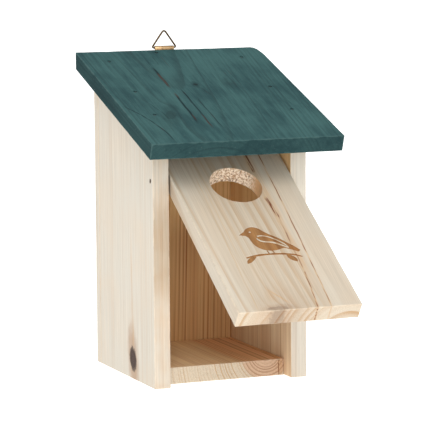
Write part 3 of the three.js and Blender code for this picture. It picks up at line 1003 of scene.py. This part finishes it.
LEAVES = [
    [(-15.0, -18.4), (-17.5, -21.2), (-21.5, -24.6), (-25.4, -26.0), (-24.6, -22.6), (-21.0, -19.2), (-17.4, -17.9)],
    [(11.5, -18.2), (12.0, -21.6), (14.6, -25.2), (18.6, -27.0), (19.0, -23.6), (16.8, -20.0), (13.6, -17.8)],
]
LEGS = [
    [(-3.6, -11.2), (-2.5, -11.4), (-2.1, -15.2), (-3.2, -15.2)],
    [(0.8, -11.2), (1.9, -11.4), (2.9, -15.6), (1.8, -15.4)],
]
EYE = (-9.8, 12.4, 1.0)


def rounded(points, corners=(), steps=6):
    """A smooth closed line through the points, with corners kept at the given ones."""
    line = []
    count = len(points)
    for i in range(count):
        p1, p2 = Vector(points[i]), Vector(points[(i + 1) % count])
        p0 = p1 if i in corners else Vector(points[i - 1])
        p3 = p2 if (i + 1) % count in corners else Vector(points[(i + 2) % count])
        for k in range(steps):
            t = k / steps
            line.append(
                0.5 * (2 * p1 + (p2 - p0) * t + (2 * p0 - 5 * p1 + 4 * p2 - p3) * t * t
                       + (3 * p1 - p0 - 3 * p2 + p3) * t ** 3)
            )
    return line


def motif_cutters(depth):
    """A songbird on a twig, as deep as it is burnt into the door's front face."""
    middle = Vector((0, DOOR_LOW.y + (depth - MOTIF_PROUD) / 2, DOOR_HIGH.z - MOTIF_DROP))
    eye = [Vector(EYE[:2]) + way * EYE[2] for way in around(Vector((1, 0)), Vector((0, 1)), 16)]
    shapes = [[rounded(BIRD, {0, 10, 11, 20}), eye, rounded(WING_GAP, {0, 5, 11, 17, 18, 23})]]
    shapes += [[rounded(TWIG, {0, 5, 6, 11})]] + [[rounded(leaf, {0, 3})] for leaf in LEAVES]
    shapes += [[[Vector(p) for p in leg]] for leg in LEGS]
    made = []
    for i, loops in enumerate(shapes):
        curve = bpy.data.curves.new("motif", "CURVE")
        curve.dimensions, curve.fill_mode, curve.extrude = "2D", "BOTH", (depth + MOTIF_PROUD) / 2
        for loop in loops:
            spline = curve.splines.new("POLY")
            spline.points.add(len(loop) - 1)
            for point, co in zip(spline.points, loop):
                point.co = (co.x, co.y, 0, 1)
            spline.use_cyclic_u = True
        drawn = bpy.data.objects.new(f"motif {i}", curve)
        bpy.context.scene.collection.objects.link(drawn)
        view = bpy.context.evaluated_depsgraph_get()
        mesh = bpy.data.meshes.new_from_object(drawn.evaluated_get(view))
        bpy.data.objects.remove(drawn)
        mesh.transform(Matrix.Translation(middle) @ Matrix.Rotation(math.pi / 2, 4, "X"))
        bm = bmesh.new()
        bm.from_mesh(mesh)
        bmesh.ops.remove_doubles(bm, verts=bm.verts, dist=1e-4)
        bmesh.ops.recalc_face_normals(bm, faces=bm.faces)
        for face in bm.faces:
            face.material_index = 1
        made.append(to_object(f"motif {i}", bm))
        for _ in range(2):
            made[-1].data.materials.append(None)
    return made


# ---- Operators ----


class NestBoxPart(bpy.types.Operator):
    """What the operators of the nest box share."""

    bl_options = {"REGISTER", "UNDO"}


class NESTBOX_OT_stage(NestBoxPart):
    """Lays the pale floor, the soft light and the camera"""

    bl_idname = "nest_box.stage"
    bl_label = "Stage"

    # Name, place, watts and colour, all aimed at the middle of the box.
    LAMPS = [
        ("key", (-0.5, -2.05, 2.0), 31, (1.0, 0.985, 0.96)),
        ("fill", (-0.7, -2.3, 0.4), 15, (1.0, 0.99, 0.975)),
        ("back", (0.4, 2.2, 1.8), 12, (1.0, 1.0, 1.0)),
    ]
    LAMP_WIDTH, AIM = 1.6, Vector((0, 0, 0.14))
    SEEN_WHITE = 1.02  # strength of the surround where the camera sees it past the floor
    FLOOR_RADIUS = 9

    def execute(self, context):
        stage = context.scene.nest_box_stage
        yaw, pitch, roll = stage.turn
        forward = Vector((math.sin(yaw) * math.cos(pitch), math.cos(yaw) * math.cos(pitch), math.sin(pitch)))
        right = Vector((math.cos(yaw), -math.sin(yaw), 0))
        up = right.cross(forward)
        right, up = right * math.cos(roll) + up * math.sin(roll), up * math.cos(roll) - right * math.sin(roll)
        data = bpy.data.cameras.new("camera")
        data.sensor_width, data.lens = 36, stage.lens
        data.clip_start, data.clip_end = 0.05, 50
        camera = bpy.data.objects.new("camera", data)
        camera.matrix_world = Matrix.Translation(stage.place) @ Matrix((right, up, -forward)).transposed().to_4x4()
        context.scene.collection.objects.link(camera)
        context.scene.camera = camera
        context.scene.view_settings.view_transform = "Standard"
        context.scene.view_settings.look = "None"

        world = bpy.data.worlds.new("white surround")
        world.use_nodes = True
        sky = world.node_tree.nodes["Background"]
        sky.inputs["Color"].default_value = (1.0, 0.995, 0.985, 1)
        w = Wiring(world.node_tree)
        seen = w.put("ShaderNodeLightPath").outputs["Is Camera Ray"]
        w.feed(sky.inputs["Strength"], w.ramp(seen, 0, 1, stage.surround, self.SEEN_WHITE))
        context.scene.world = world

        for name, place, watts, colour in self.LAMPS:
            data = bpy.data.lights.new(name, "AREA")
            data.shape, data.size, data.energy, data.color = "DISK", self.LAMP_WIDTH, watts * stage.key, colour
            lamp = bpy.data.objects.new(name, data)
            aim = self.AIM - Vector(place)
            lamp.matrix_world = Matrix.Translation(place) @ aim.to_track_quat("-Z", "Y").to_matrix().to_4x4()
            context.scene.collection.objects.link(lamp)
        self.floor()
        return {"FINISHED"}

    def floor(self):
        bm = bmesh.new()
        bmesh.ops.create_circle(bm, cap_ends=True, radius=self.FLOOR_RADIUS, segments=64)
        floor = to_object("floor_sheet", bm)
        made, w, shader = material("pale floor")
        place = w.own_place()
        mottle = w.noise(place, 3, 2)
        w.feed(shader.inputs["Base Color"], w.mix(mottle, (0.49, 0.49, 0.49), (0.51, 0.51, 0.51)))
        shader.inputs["Roughness"].default_value = 0.9
        shader.inputs["Specular IOR Level"].default_value = 0.1
        shader.inputs["Emission Color"].default_value = (1, 1, 1, 1)
        shader.inputs["Emission Strength"].default_value = 0.97
        floor.data.materials.append(made)
        return floor


class NESTBOX_OT_side_walls(NestBoxPart):
    """Makes the two side walls, with the left wall's knot"""

    bl_idname = "nest_box.side_walls"
    bl_label = "Side walls"

    def execute(self, context):
        knots = [(-20.0, 17.5, 7.2, 9.4, -0.12, 7.0, 1.0)]
        streaks = [
            (-19.2, 30, 132, 0.010, 0.0, 3.4, 42, 0.36),
            (-17.6, 30, 150, 0.010, 0.0, 0.9, 46, 0.30),
            (-20.6, 24, 62, 0.02, 0.0, 3.0, 12, 0.42),
            (-14.6, 0, 28, -0.10, 0.0, 0.7, 6, 0.45),
            (-24.8, 0, 28, 0.12, 0.0, 0.7, 6, 0.45),
            (27.5, 0, 225, 0.0, 0.0, 1.3, 40, 0.16),
            (-50.0, 0, 190, 0.03, 0.0, 0.8, 40, 0.12),
            (-71.6, -10, 236, 0.0, 0.0, 0.9, 4, 0.22),
        ]
        # inner paints shade on the left wall's inner face and a stretch of its front edge, and paints light on the
        # right wall's inner face; inner_top paints more light high up.
        woods = {
            "left": dict(
                pith=(-120, 46), spacing=5.2, wander=2.0, lines=0.32, inner=(0.42, 0.29, 0.14), knots=knots,
                streaks=streaks,
            ),
            "right": dict(
                pith=(95, 60), spacing=3.6, wander=2.2, lines=0.55, bold=0.20, inner=(1.32, 1.14, 0.90),
                inner_top=(1.50, 1.12, 0.66), knots=[(38, 206, 4, 5, 0.1, 5, 0.8)],
            ),
        }
        middle = (WALL_LOW.x + WALL_HIGH.x) / 2
        for side, inner, marks in (("left", X, self.left_marks), ("right", -X, facing(-X))):
            node = f"{side}_wall"
            bm, planes = plain_board(node)
            board = finish_board(node + "_board", bm, planes, (Y, Z), inner * 300)
            carve(board, nail_pockets([f"door_pivot_nail_{side}"], -inner, 0.3, 0.5))
            mark_board(board, planes, Z, marks)
            wood = pine(f"pine {side} wall", Y, Z, inner * middle, **woods[side])
            place_board(board, [node], HOUSE, PINE_SLOT, [wood])
        return {"FINISHED"}

    def left_marks(self, co, normal):
        """The room's face, painted darker as shade, and a stretch of the front edge darkened with the same tint."""
        darker_front = np.interp(co[:, 2], (10, 60, 95, 145, 172), (0.10, 0.12, 0.46, 0.46, 0.0))
        return facing(X, 0.55)(co, normal) + darker_front * facing(-Y)(co, normal)


class NESTBOX_OT_back_wall(NestBoxPart):
    """Makes the back wall"""

    bl_idname = "nest_box.back_wall"
    bl_label = "Back wall"

    def execute(self, context):
        bm, planes = plain_board("back_wall")
        board = finish_board("back_board", bm, planes, (X, Z), Y * 500)
        carve(board, nail_pockets(nodes_named("back_nail"), Y, 0.3, 0.42))
        mark_board(board, planes, Z, facing(-Y, 0.95))
        # The inner face takes the inside tint, partly the wood's own colour and partly painted shade, and inner_top
        # paints light on its upper part.
        wood = pine(
            "pine back wall", X, Z, Vector((0, BACK_LOW.y, 0)), pith=(-74, 66), spacing=2.9, lean=(0.0, -0.04),
            wander=2.0, lines=1.0, bold=0.86, inner_top=(1.45, 1.10, 0.62), knots=[(-58, 214, 4, 5, 0.0, 4, 0.8)],
            streaks=[(-10, 20, 170, 0.01, 0.0, 1.0, 30, 0.35), (40, 60, 230, -0.01, 0.0, 0.8, 30, 0.25)],
        )
        place_board(board, ["back_wall"], HOUSE, PINE_SLOT, [wood])
        return {"FINISHED"}


class NESTBOX_OT_floor_board(NestBoxPart):
    """Makes the floor board, whose front edge shows the end grain round its pith"""

    bl_idname = "nest_box.floor_board"
    bl_label = "Floor board"

    def execute(self, context):
        bm, planes = plain_board("floor")
        board = finish_board("floor_board", bm, planes, (X, Y), Z * 700)
        mark_board(board, planes, Y, facing(Z))
        # inner paints light on the floor's top inside the box, brighter than the wood itself.
        wood = pine(
            "pine floor", X, Y, Vector((0, WALL_LOW.y, 0)), pith=(39, -21), spacing=2.6, wander=1.6, lines=0.8,
            bold=0.22, tint=(1.0, 0.97, 0.88), inner=(1.38, 1.18, 0.94), heart=24,
            streaks=[(50.2, -10, 150, 0.0, 0.0, 0.9, 8, 0.95), (52.4, -10, 150, 0.0, 0.0, 1.9, 8, 0.40)],
        )
        place_board(board, ["floor"], HOUSE, PINE_SLOT, [wood])
        return {"FINISHED"}


class NESTBOX_OT_door(NestBoxPart):
    """Makes the door, with its round entrance and its burnt motif"""

    bl_idname = "nest_box.door"
    bl_label = "Door"

    def torn(self, co):
        """How deep the wall of the entrance is torn: 0 away from it, 1 at a millimetre and a half. The shader paints
        shade by it, darker deeper in the pits.
        """
        reach = np.hypot(co[:, 0] - ENTRANCE.x, co[:, 2] - ENTRANCE.z) - ENTRANCE_RADIUS
        on_face = (co[:, 1] < DOOR_LOW.y + 0.3) | (co[:, 1] > DOOR_HIGH.y - 0.3)
        wall = (reach > -0.5) & (reach < 2.5) & ~on_face
        return np.where(wall, np.clip((reach + 0.25) / 1.5, 0, 1), 0)

    def execute(self, context):
        sizes = context.scene.nest_box_boards
        bm, planes = plain_board("door", DOOR_SHUT)
        board = finish_board("door_board", bm, planes, (X, Z), Z * 900)
        for _ in range(2):
            board.data.materials.append(None)
        carve(board, entrance_cutter(sizes.hole_fuzz / MM), *motif_cutters(sizes.motif_depth / MM))
        # The door's inner face takes the inside tint, partly the wood's own colour and partly painted shade.
        mark_board(board, planes, Z, facing(Y, 0.6), self.torn)
        grain = dict(
            pith=(44, 30), spacing=7.4, lean=(-0.03, 0.0), wander=2.0, lines=0.80, tint=(0.83, 0.77, 0.70),
            knots=[(-19.0, 2.0, 9.0, 2.2, 0.0, 3.0, 0.32), (-13.0, -6.0, 15, 12, 0.0, 5.0, 0.07)],
            streaks=[
                (14.4, -5, 46, 0.11, 0.0, 1.4, 4, 0.78),
                (19.4, 40, 122, 0.036, 0.0, 1.6, 12, 0.74),
                (20.8, 30, 150, 0.02, 0.0, 5.0, 30, 0.42),
                (22.0, 128, 196, 0.0, 0.0, 7.0, 14, 0.42),
                (22.6, 106, 144, -0.070, 0.0, 2.9, 9, 1.0),
                (24.2, 112, 176, -0.02, 0.0, 3.6, 20, 0.40),
                (22.3, 166, 210, 0.004, 0.0, 2.9, 9, 1.0),
                (24.6, 150, 210, 0.004, 0.0, 4.5, 12, 0.26),
                (26.6, -5, 210, 0.052, -0.055, 1.2, 10, 0.80),
                (29.0, 60, 210, 0.040, -0.030, 3.4, 30, 0.14),
                (-5.0, 5, 28, -0.75, 0.0, 1.6, 6, 0.50),
                (-21.0, 6, 30, 0.10, 0.0, 7.0, 12, 0.22),
                (-36.5, -5, 210, 0.02, 0.02, 0.9, 20, 0.30),
                (-30.0, 60, 210, 0.01, 0.0, 0.8, 20, 0.26),
                (-24.0, 60, 210, 0.01, 0.0, 3.0, 30, 0.14),
                (-11.6, 120, 210, 0.0, 0.0, 0.8, 20, 0.26),
                (-5.0, 110, 150, 0.0, 0.0, 0.6, 20, 0.22),
                (1.0, 110, 150, 0.0, 0.0, 0.6, 20, 0.22),
            ],
        )
        origin = Vector((0, DOOR_LOW.y, DOOR_LOW.z))
        turn = DOOR_OPEN.to_3x3()
        setting = (turn @ X, turn @ Z, DOOR_OPEN @ origin)
        face = pine("pine door", *setting, **grain)
        burnt = pine("burnt pine", *setting, **grain, burn=True)
        place_board(board, ["door"], DOOR, PINE_SLOT, [face, burnt], DOOR_OPEN)
        return {"FINISHED"}


class NESTBOX_OT_roof(NestBoxPart):
    """Makes the stained roof, with its worn rear corner"""

    bl_idname = "nest_box.roof"
    bl_label = "Roof"

    # In from the right edge, in from the back.
    WORN_CORNER = [(7.0, 0.0), (3.7, 1.6), (1.8, 5.4), (0.6, 12.7), (0.0, 19.0)]

    def execute(self, context):
        sizes = context.scene.nest_box_boards
        bm, planes = plain_board("roof")
        corner = [Vector((ROOF_HIGH.x - a, ROOF_HIGH.y - b, ROOF_HIGH.z)) for a, b in self.WORN_CORNER]
        for before, after in zip(corner, corner[1:]):
            outwards = ROOF_FACE.cross(after - before).normalized()
            outwards = outwards if outwards.x > 0 else -outwards
            slice_off(bm, before, outwards)
            planes.append((before, outwards))
        board = finish_board("roof_board", bm, planes, (X, UP_ROOF), Z * 1300, sizes.roof_arris)
        carve(board, nail_pockets(nodes_named("roof_nail"), Z, 0.7, 0.42, 0.45))
        mark_board(board, planes, UP_ROOF, lambda co, normal: np.abs(normal[:, 0]) ** 4)
        place_board(board, ["roof"], HOUSE, ROOF_SLOT, [stained_roof()])
        return {"FINISHED"}


def nail_tree():
    """Geometry nodes that stand one turned nail at each point, along the direction that the point carries."""
    name = "driven nails"
    if name in bpy.data.node_groups:
        return bpy.data.node_groups[name]
    tree = bpy.data.node_groups.new(name, "GeometryNodeTree")
    tree.interface.new_socket("Places", in_out="INPUT", socket_type="NodeSocketGeometry")
    for label in ("Length", "Shank Radius", "Head Radius", "Head Height", "Dome", "Tilt"):
        tree.interface.new_socket(label, in_out="INPUT", socket_type="NodeSocketFloat")
    tree.interface.new_socket("Seed", in_out="INPUT", socket_type="NodeSocketInt")
    tree.interface.new_socket("Finish", in_out="INPUT", socket_type="NodeSocketMaterial")
    tree.interface.new_socket("Nails", in_out="OUTPUT", socket_type="NodeSocketGeometry")
    w = Wiring(tree)
    given = {s.name: s for s in w.put("NodeGroupInput").outputs}
    head, shank, tall = given["Head Radius"], given["Shank Radius"], given["Head Height"]
    dome, long = given["Dome"], given["Length"]

    # One row of the nail's outline after another, from the crown down: height below the crown, radius.
    rows = [
        (0.0, w.times(head, 0.30)),
        (w.times(dome, 0.22), w.times(head, 0.62)),
        (w.times(dome, 0.62), w.times(head, 0.88)),
        (dome, head),
        (w.times_plus(w.minus(tall, dome), 0.7, dome), w.times(head, 0.99)),
        (tall, w.times(head, 0.93)),
        (w.plus(tall, 0.03 * MM), w.times(shank, 1.18)),
        (w.plus(tall, 0.7 * MM), shank),
        (w.minus(long, w.times(shank, 2.6)), shank),
        (long, w.times(shank, 0.08)),
    ]
    index = w.put("GeometryNodeInputIndex").outputs[0]

    def by_row(values):
        node = w.put("GeometryNodeIndexSwitch", data_type="FLOAT")
        while len(node.index_switch_items) < len(values):
            node.index_switch_items.new()
        for socket, value in zip(node.inputs, (index, *values)):
            w.feed(socket, value)
        return node.outputs[0]

    line = w.fed("GeometryNodeMeshLine", {"Count": len(rows)}, mode="OFFSET").outputs[0]
    place = w.join(0.0, 0.0, w.times(by_row([drop for drop, _ in rows]), -1.0))
    line = w.fed("GeometryNodeSetPosition", {"Geometry": line, "Position": place}).outputs[0]
    spine = w.fed("GeometryNodeMeshToCurve", {"Mesh": line}).outputs[0]
    circle = w.fed("GeometryNodeCurvePrimitiveCircle", {"Resolution": 24, "Radius": 1.0}, mode="RADIUS").outputs[0]
    turned = w.fed("GeometryNodeCurveToMesh", {
        "Curve": spine, "Profile Curve": circle, "Scale": by_row([radius for _, radius in rows]), "Fill Caps": True,
    }).outputs[0]

    out = w.fed("GeometryNodeInputNamedAttribute", {"Name": "out"}, data_type="FLOAT_VECTOR").outputs["Attribute"]
    facing_out = w.fed("FunctionNodeAlignRotationToVector", {"Vector": out}, axis="Z").outputs[0]
    tilt, half_turn = given["Tilt"], 3.0
    back = w.times(tilt, -1.0)
    lean = w.fed("FunctionNodeRandomValue", {
        "Min": w.join(back, back, -half_turn), "Max": w.join(tilt, tilt, half_turn), "Seed": given["Seed"],
    }, data_type="FLOAT_VECTOR").outputs["Value"]
    lean = w.fed("FunctionNodeEulerToRotation", {0: lean}).outputs[0]
    stance = w.fed(
        "FunctionNodeRotateRotation", {"Rotation": facing_out, "Rotate By": lean}, rotation_space="LOCAL"
    ).outputs[0]
    nails = w.fed(
        "GeometryNodeInstanceOnPoints", {"Points": given["Places"], "Instance": turned, "Rotation": stance}
    ).outputs[0]
    nails = w.fed("GeometryNodeRealizeInstances", {0: nails}).outputs[0]
    nails = w.fed("GeometryNodeSetMaterial", {"Geometry": nails, "Material": given["Finish"]}).outputs[0]
    w.fed("NodeGroupOutput", {"Nails": nails})
    return tree


class NESTBOX_OT_nails(NestBoxPart):
    """Drives every nail of the roof, the back wall, the door's pivots and the hanger"""

    bl_idname = "nest_box.nails"
    bl_label = "Nails"

    # Name, the nodes' first words, the way the heads face, head height, dome and tilt.
    KINDS = [
        ("roof_nails", "roof_nail", Z, 1.0, 0.28, 0.05, NAIL_SLOT),
        ("back_nails", "back_nail", Y, 1.0, 0.28, 0.03, NAIL_SLOT),
        ("pivot_nail_left", "door_pivot_nail_left", -X, 1.2, 0.35, 0.0, NAIL_SLOT),
        ("pivot_nail_right", "door_pivot_nail_right", X, 1.2, 0.35, 0.0, NAIL_SLOT),
        ("hanger_nails", "hanger_nail", Y, 0.8, 0.62, 0.03, BRASS_SLOT),
    ]

    def execute(self, context):
        steel, brass = rusty_steel(), plated("brass nails", context.scene.nest_box_metal.brass, 0.34, 900.0, 0.55)
        for name, start, out, tall, dome, tilt, slot in self.KINDS:
            nodes = nodes_named(start)
            bm = bmesh.new()
            for node in nodes:
                bm.verts.new(self.crown(node, out) * MM)
            nails = to_object(name, bm)
            facing = nails.data.attributes.new("out", "FLOAT_VECTOR", "POINT")
            facing.data.foreach_set("vector", list(out) * len(nodes))
            long, shank, head = self.sizes(nodes[0], out)
            self.drive(nails, {
                "Length": long * MM, "Shank Radius": shank * MM, "Head Radius": head * MM,
                "Head Height": tall * MM, "Dome": dome * MM, "Tilt": tilt,
                "Seed": context.scene.nest_box_boards.seed, "Finish": brass if slot == BRASS_SLOT else steel,
            })
            hand_over(nails, nodes, HOUSE, slot)
        return {"FINISHED"}

    def crown(self, node, out):
        """The middle of a nail's crown."""
        low, high = node_box(node)
        middle = (low + high) / 2
        return middle + out * ((high - low).dot(Vector(map(abs, out))) / 2)

    def sizes(self, node, out):
        """A nail's length, its shank's radius and its head's radius."""
        co = node_points(node)
        low, high = node_box(node)
        middle = np.array((low + high) / 2)
        off = co - middle
        off -= np.outer(off @ np.array(out), np.array(out))
        reach = np.linalg.norm(off, axis=1)
        return (high - low).dot(Vector(map(abs, out))), reach[reach > 0.1].min(), reach.max()

    def drive(self, nails, values):
        tree = nail_tree()
        driven = nails.modifiers.new("driven nails", "NODES")
        driven.node_group = tree
        sockets = [s for s in tree.interface.items_tree if s.item_type == "SOCKET" and s.in_out == "INPUT"]
        named = {s.name: s.identifier for s in sockets}
        for name, value in values.items():
            driven[named[name]] = value
        as_plain_mesh(nails)


class NESTBOX_OT_strap(NestBoxPart):
    """Folds the hanger's strap round the wire"""

    bl_idname = "nest_box.strap"
    bl_label = "Strap"

    SHEET, CORNER = 0.6, 3.0
    PINCH = math.radians(-128)  # where the eye ends and the outer leaf bends back to the inner one
    PRESSED = 3.2  # below the wire's middle, where the leaves meet
    LEAF_GAP = 0.02

    def execute(self, context):
        low, high = node_box("hanger_plate")
        wire_low, wire_high = node_box("hanger_ring")
        wire = (wire_high.y - wire_low.y) / 2
        wire_y, wire_z = (wire_low.y + wire_high.y) / 2, wire_low.z + wire
        half = self.SHEET / 2
        mean = high.z - wire_z - half
        inner_leaf, outer_leaf = low.y + half, low.y + half * 3 + self.LEAF_GAP
        line = [Vector((inner_leaf, low.z + t * (wire_z - low.z))) for t in np.linspace(0, 1, 16)[:-1]]
        for a in np.linspace(math.pi, self.PINCH, 46):
            line.append(Vector((wire_y + mean * math.cos(a), wire_z + mean * math.sin(a))))
        last = line[-1]
        pressed = wire_z - self.PRESSED
        for t in np.linspace(0, 1, 8)[1:]:
            blend = t * t * (3 - 2 * t)
            line.append(Vector((last.x + (outer_leaf - last.x) * blend, last.y + (pressed - last.y) * t)))
        line += [Vector((outer_leaf, pressed + t * (low.z - pressed))) for t in np.linspace(0, 1, 14)[1:]]
        strap = to_object("strap", self.folded(line, low, high))
        strap.data.transform(Matrix.Scale(MM, 4))
        brass = context.scene.nest_box_metal.brass
        strap.data.materials.append(plated("brass strap", brass, 0.30, 260.0, 0.58, high.z))
        hand_over(strap, ["hanger_plate"], HOUSE, BRASS_SLOT)
        return {"FINISHED"}

    def folded(self, line, low, high):
        """A sheet with rounded edges that follows the line in the side view, all the way across the strap."""
        bm = bmesh.new()
        middle, half = (low.x + high.x) / 2, (high.x - low.x) / 2
        edge = self.SHEET / 2
        rows = []
        for i, here in enumerate(line):
            before, after = line[max(0, i - 1)], line[min(len(line) - 1, i + 1)]
            along = (after - before).normalized()
            out = Vector((-along.y, along.x))
            up = here.y - low.z
            narrow = 0.0
            if up < self.CORNER:
                narrow = self.CORNER - math.sqrt(self.CORNER ** 2 - (self.CORNER - up) ** 2)
            side = half - narrow
            row = []
            for sign in (1, -1):
                for k in range(7):
                    a = math.radians(-90 + 30 * k)
                    x = sign * (side - edge * 0.5 + edge * 0.5 * math.cos(a))
                    n = sign * edge * math.sin(a)
                    row.append(bm.verts.new((middle + x, here.x + out.x * n, here.y + out.y * n)))
            rows.append(row)
        return close_skin(bm, rows)


class NESTBOX_OT_ring(NestBoxPart):
    """Bends the wire ring"""

    bl_idname = "nest_box.ring"
    bl_label = "Ring"

    SIDES, STEPS = 20, 18  # round the wire, along each straight and bend
    HALF_BASE, HEIGHT, JOINT = 11.7, 16.2, 0.4
    FOOT_BEND, TOP_BEND = 2.5, 3.5
    CUT_EASE = 0.18  # share of the radius

    def execute(self, context):
        low, high = node_box("hanger_ring")
        radius = (high.y - low.y) / 2
        middle = Vector(((low.x + high.x) / 2, (low.y + high.y) / 2, low.z + radius))
        line = self.path()
        wide, _, tall = high - low - Vector((2, 2, 2)) * radius
        reach = np.ptp(np.array(line), axis=0)
        line = [middle + Vector((p.x * wide / reach[0], 0, p.z * tall / reach[2])) for p in line]
        ring = to_object("wire_ring", self.wire(line, radius))
        ring.data.transform(Matrix.Scale(MM, 4))
        ring.data.materials.append(plated("plated wire", context.scene.nest_box_metal.wire, 0.28, 420.0, 0.50))
        hand_over(ring, ["hanger_ring"], RING, BRASS_SLOT)
        return {"FINISHED"}

    def path(self):
        """The wire's middle line, from one end round to the other, on a triangle with rounded corners."""
        right, left = Vector((self.HALF_BASE, 0, 0)), Vector((-self.HALF_BASE, 0, 0))
        top, foot = Vector((0, 0, self.HEIGHT)), Vector((0, 0, 0))
        stops = [
            (right, foot, top, self.FOOT_BEND), (top, right, left, self.TOP_BEND), (left, top, foot, self.FOOT_BEND),
        ]
        steps = np.linspace(0, 1, self.STEPS)
        here = Vector((self.JOINT / 2, 0, 0))
        line = []
        for corner, before, after, bend in stops:
            start = corner + (before - corner).normalized() * bend
            end = corner + (after - corner).normalized() * bend
            line += [here.lerp(start, t) for t in steps[:-1]]
            line += [start * (1 - t) ** 2 + corner * 2 * t * (1 - t) + end * t * t for t in steps[:-1]]
            here = end
        return line + [here.lerp(Vector((-self.JOINT / 2, 0, 0)), t) for t in steps]

    def wire(self, line, radius):
        """A round wire along a line in the plane y = constant, with its cut ends eased."""
        bm = bmesh.new()
        ease = radius * self.CUT_EASE
        rows = []
        last = len(line) - 1
        for i, here in enumerate(line):
            along = (line[min(last, i + 1)] - line[max(0, i - 1)]).normalized()
            side = Y.cross(along)
            for inset in ([radius - ease, radius] if i in (0, last) else [radius]):
                push = Vector((0, 0, 0))
                if i in (0, last) and inset == radius:
                    push = along * (ease if i == 0 else -ease)
                rows.append([bm.verts.new(here + push + way * inset) for way in around(side, Y, self.SIDES)])
        rows[-1], rows[-2] = rows[-2], rows[-1]
        return close_skin(bm, rows)


OPERATORS = [
    NESTBOX_OT_stage,
    NESTBOX_OT_side_walls,
    NESTBOX_OT_back_wall,
    NESTBOX_OT_floor_board,
    NESTBOX_OT_door,
    NESTBOX_OT_roof,
    NESTBOX_OT_nails,
    NESTBOX_OT_strap,
    NESTBOX_OT_ring,
]


class NESTBOX_PT_parts(bpy.types.Panel):
    """Lists the settings and the parts of the nest box"""

    bl_idname = "NESTBOX_PT_parts"
    bl_label = "Nest Box"
    bl_space_type = "VIEW_3D"
    bl_region_type = "UI"
    bl_category = "Nest Box"

    def draw(self, context):
        for name, group in GROUPS.items():
            box = self.layout.box()
            box.label(text=name.replace("_", " ").capitalize())
            for item in group.__annotations__:
                box.prop(getattr(context.scene, name), item)
        for operator in OPERATORS:
            self.layout.operator(operator.bl_idname)


def register():
    for group in GROUPS.values():
        bpy.utils.register_class(group)
    for name, group in GROUPS.items():
        setattr(bpy.types.Scene, name, PointerProperty(type=group))
    for operator in OPERATORS:
        bpy.utils.register_class(operator)
    bpy.utils.register_class(NESTBOX_PT_parts)


def unregister():
    bpy.utils.unregister_class(NESTBOX_PT_parts)
    for operator in reversed(OPERATORS):
        bpy.utils.unregister_class(operator)
    for name in GROUPS:
        delattr(bpy.types.Scene, name)
    for group in reversed(GROUPS.values()):
        bpy.utils.unregister_class(group)


def main():
    register()
    for operator in OPERATORS:
        group, name = operator.bl_idname.split(".")
        getattr(getattr(bpy.ops, group), name)()


if __name__ == "__main__":
    main()
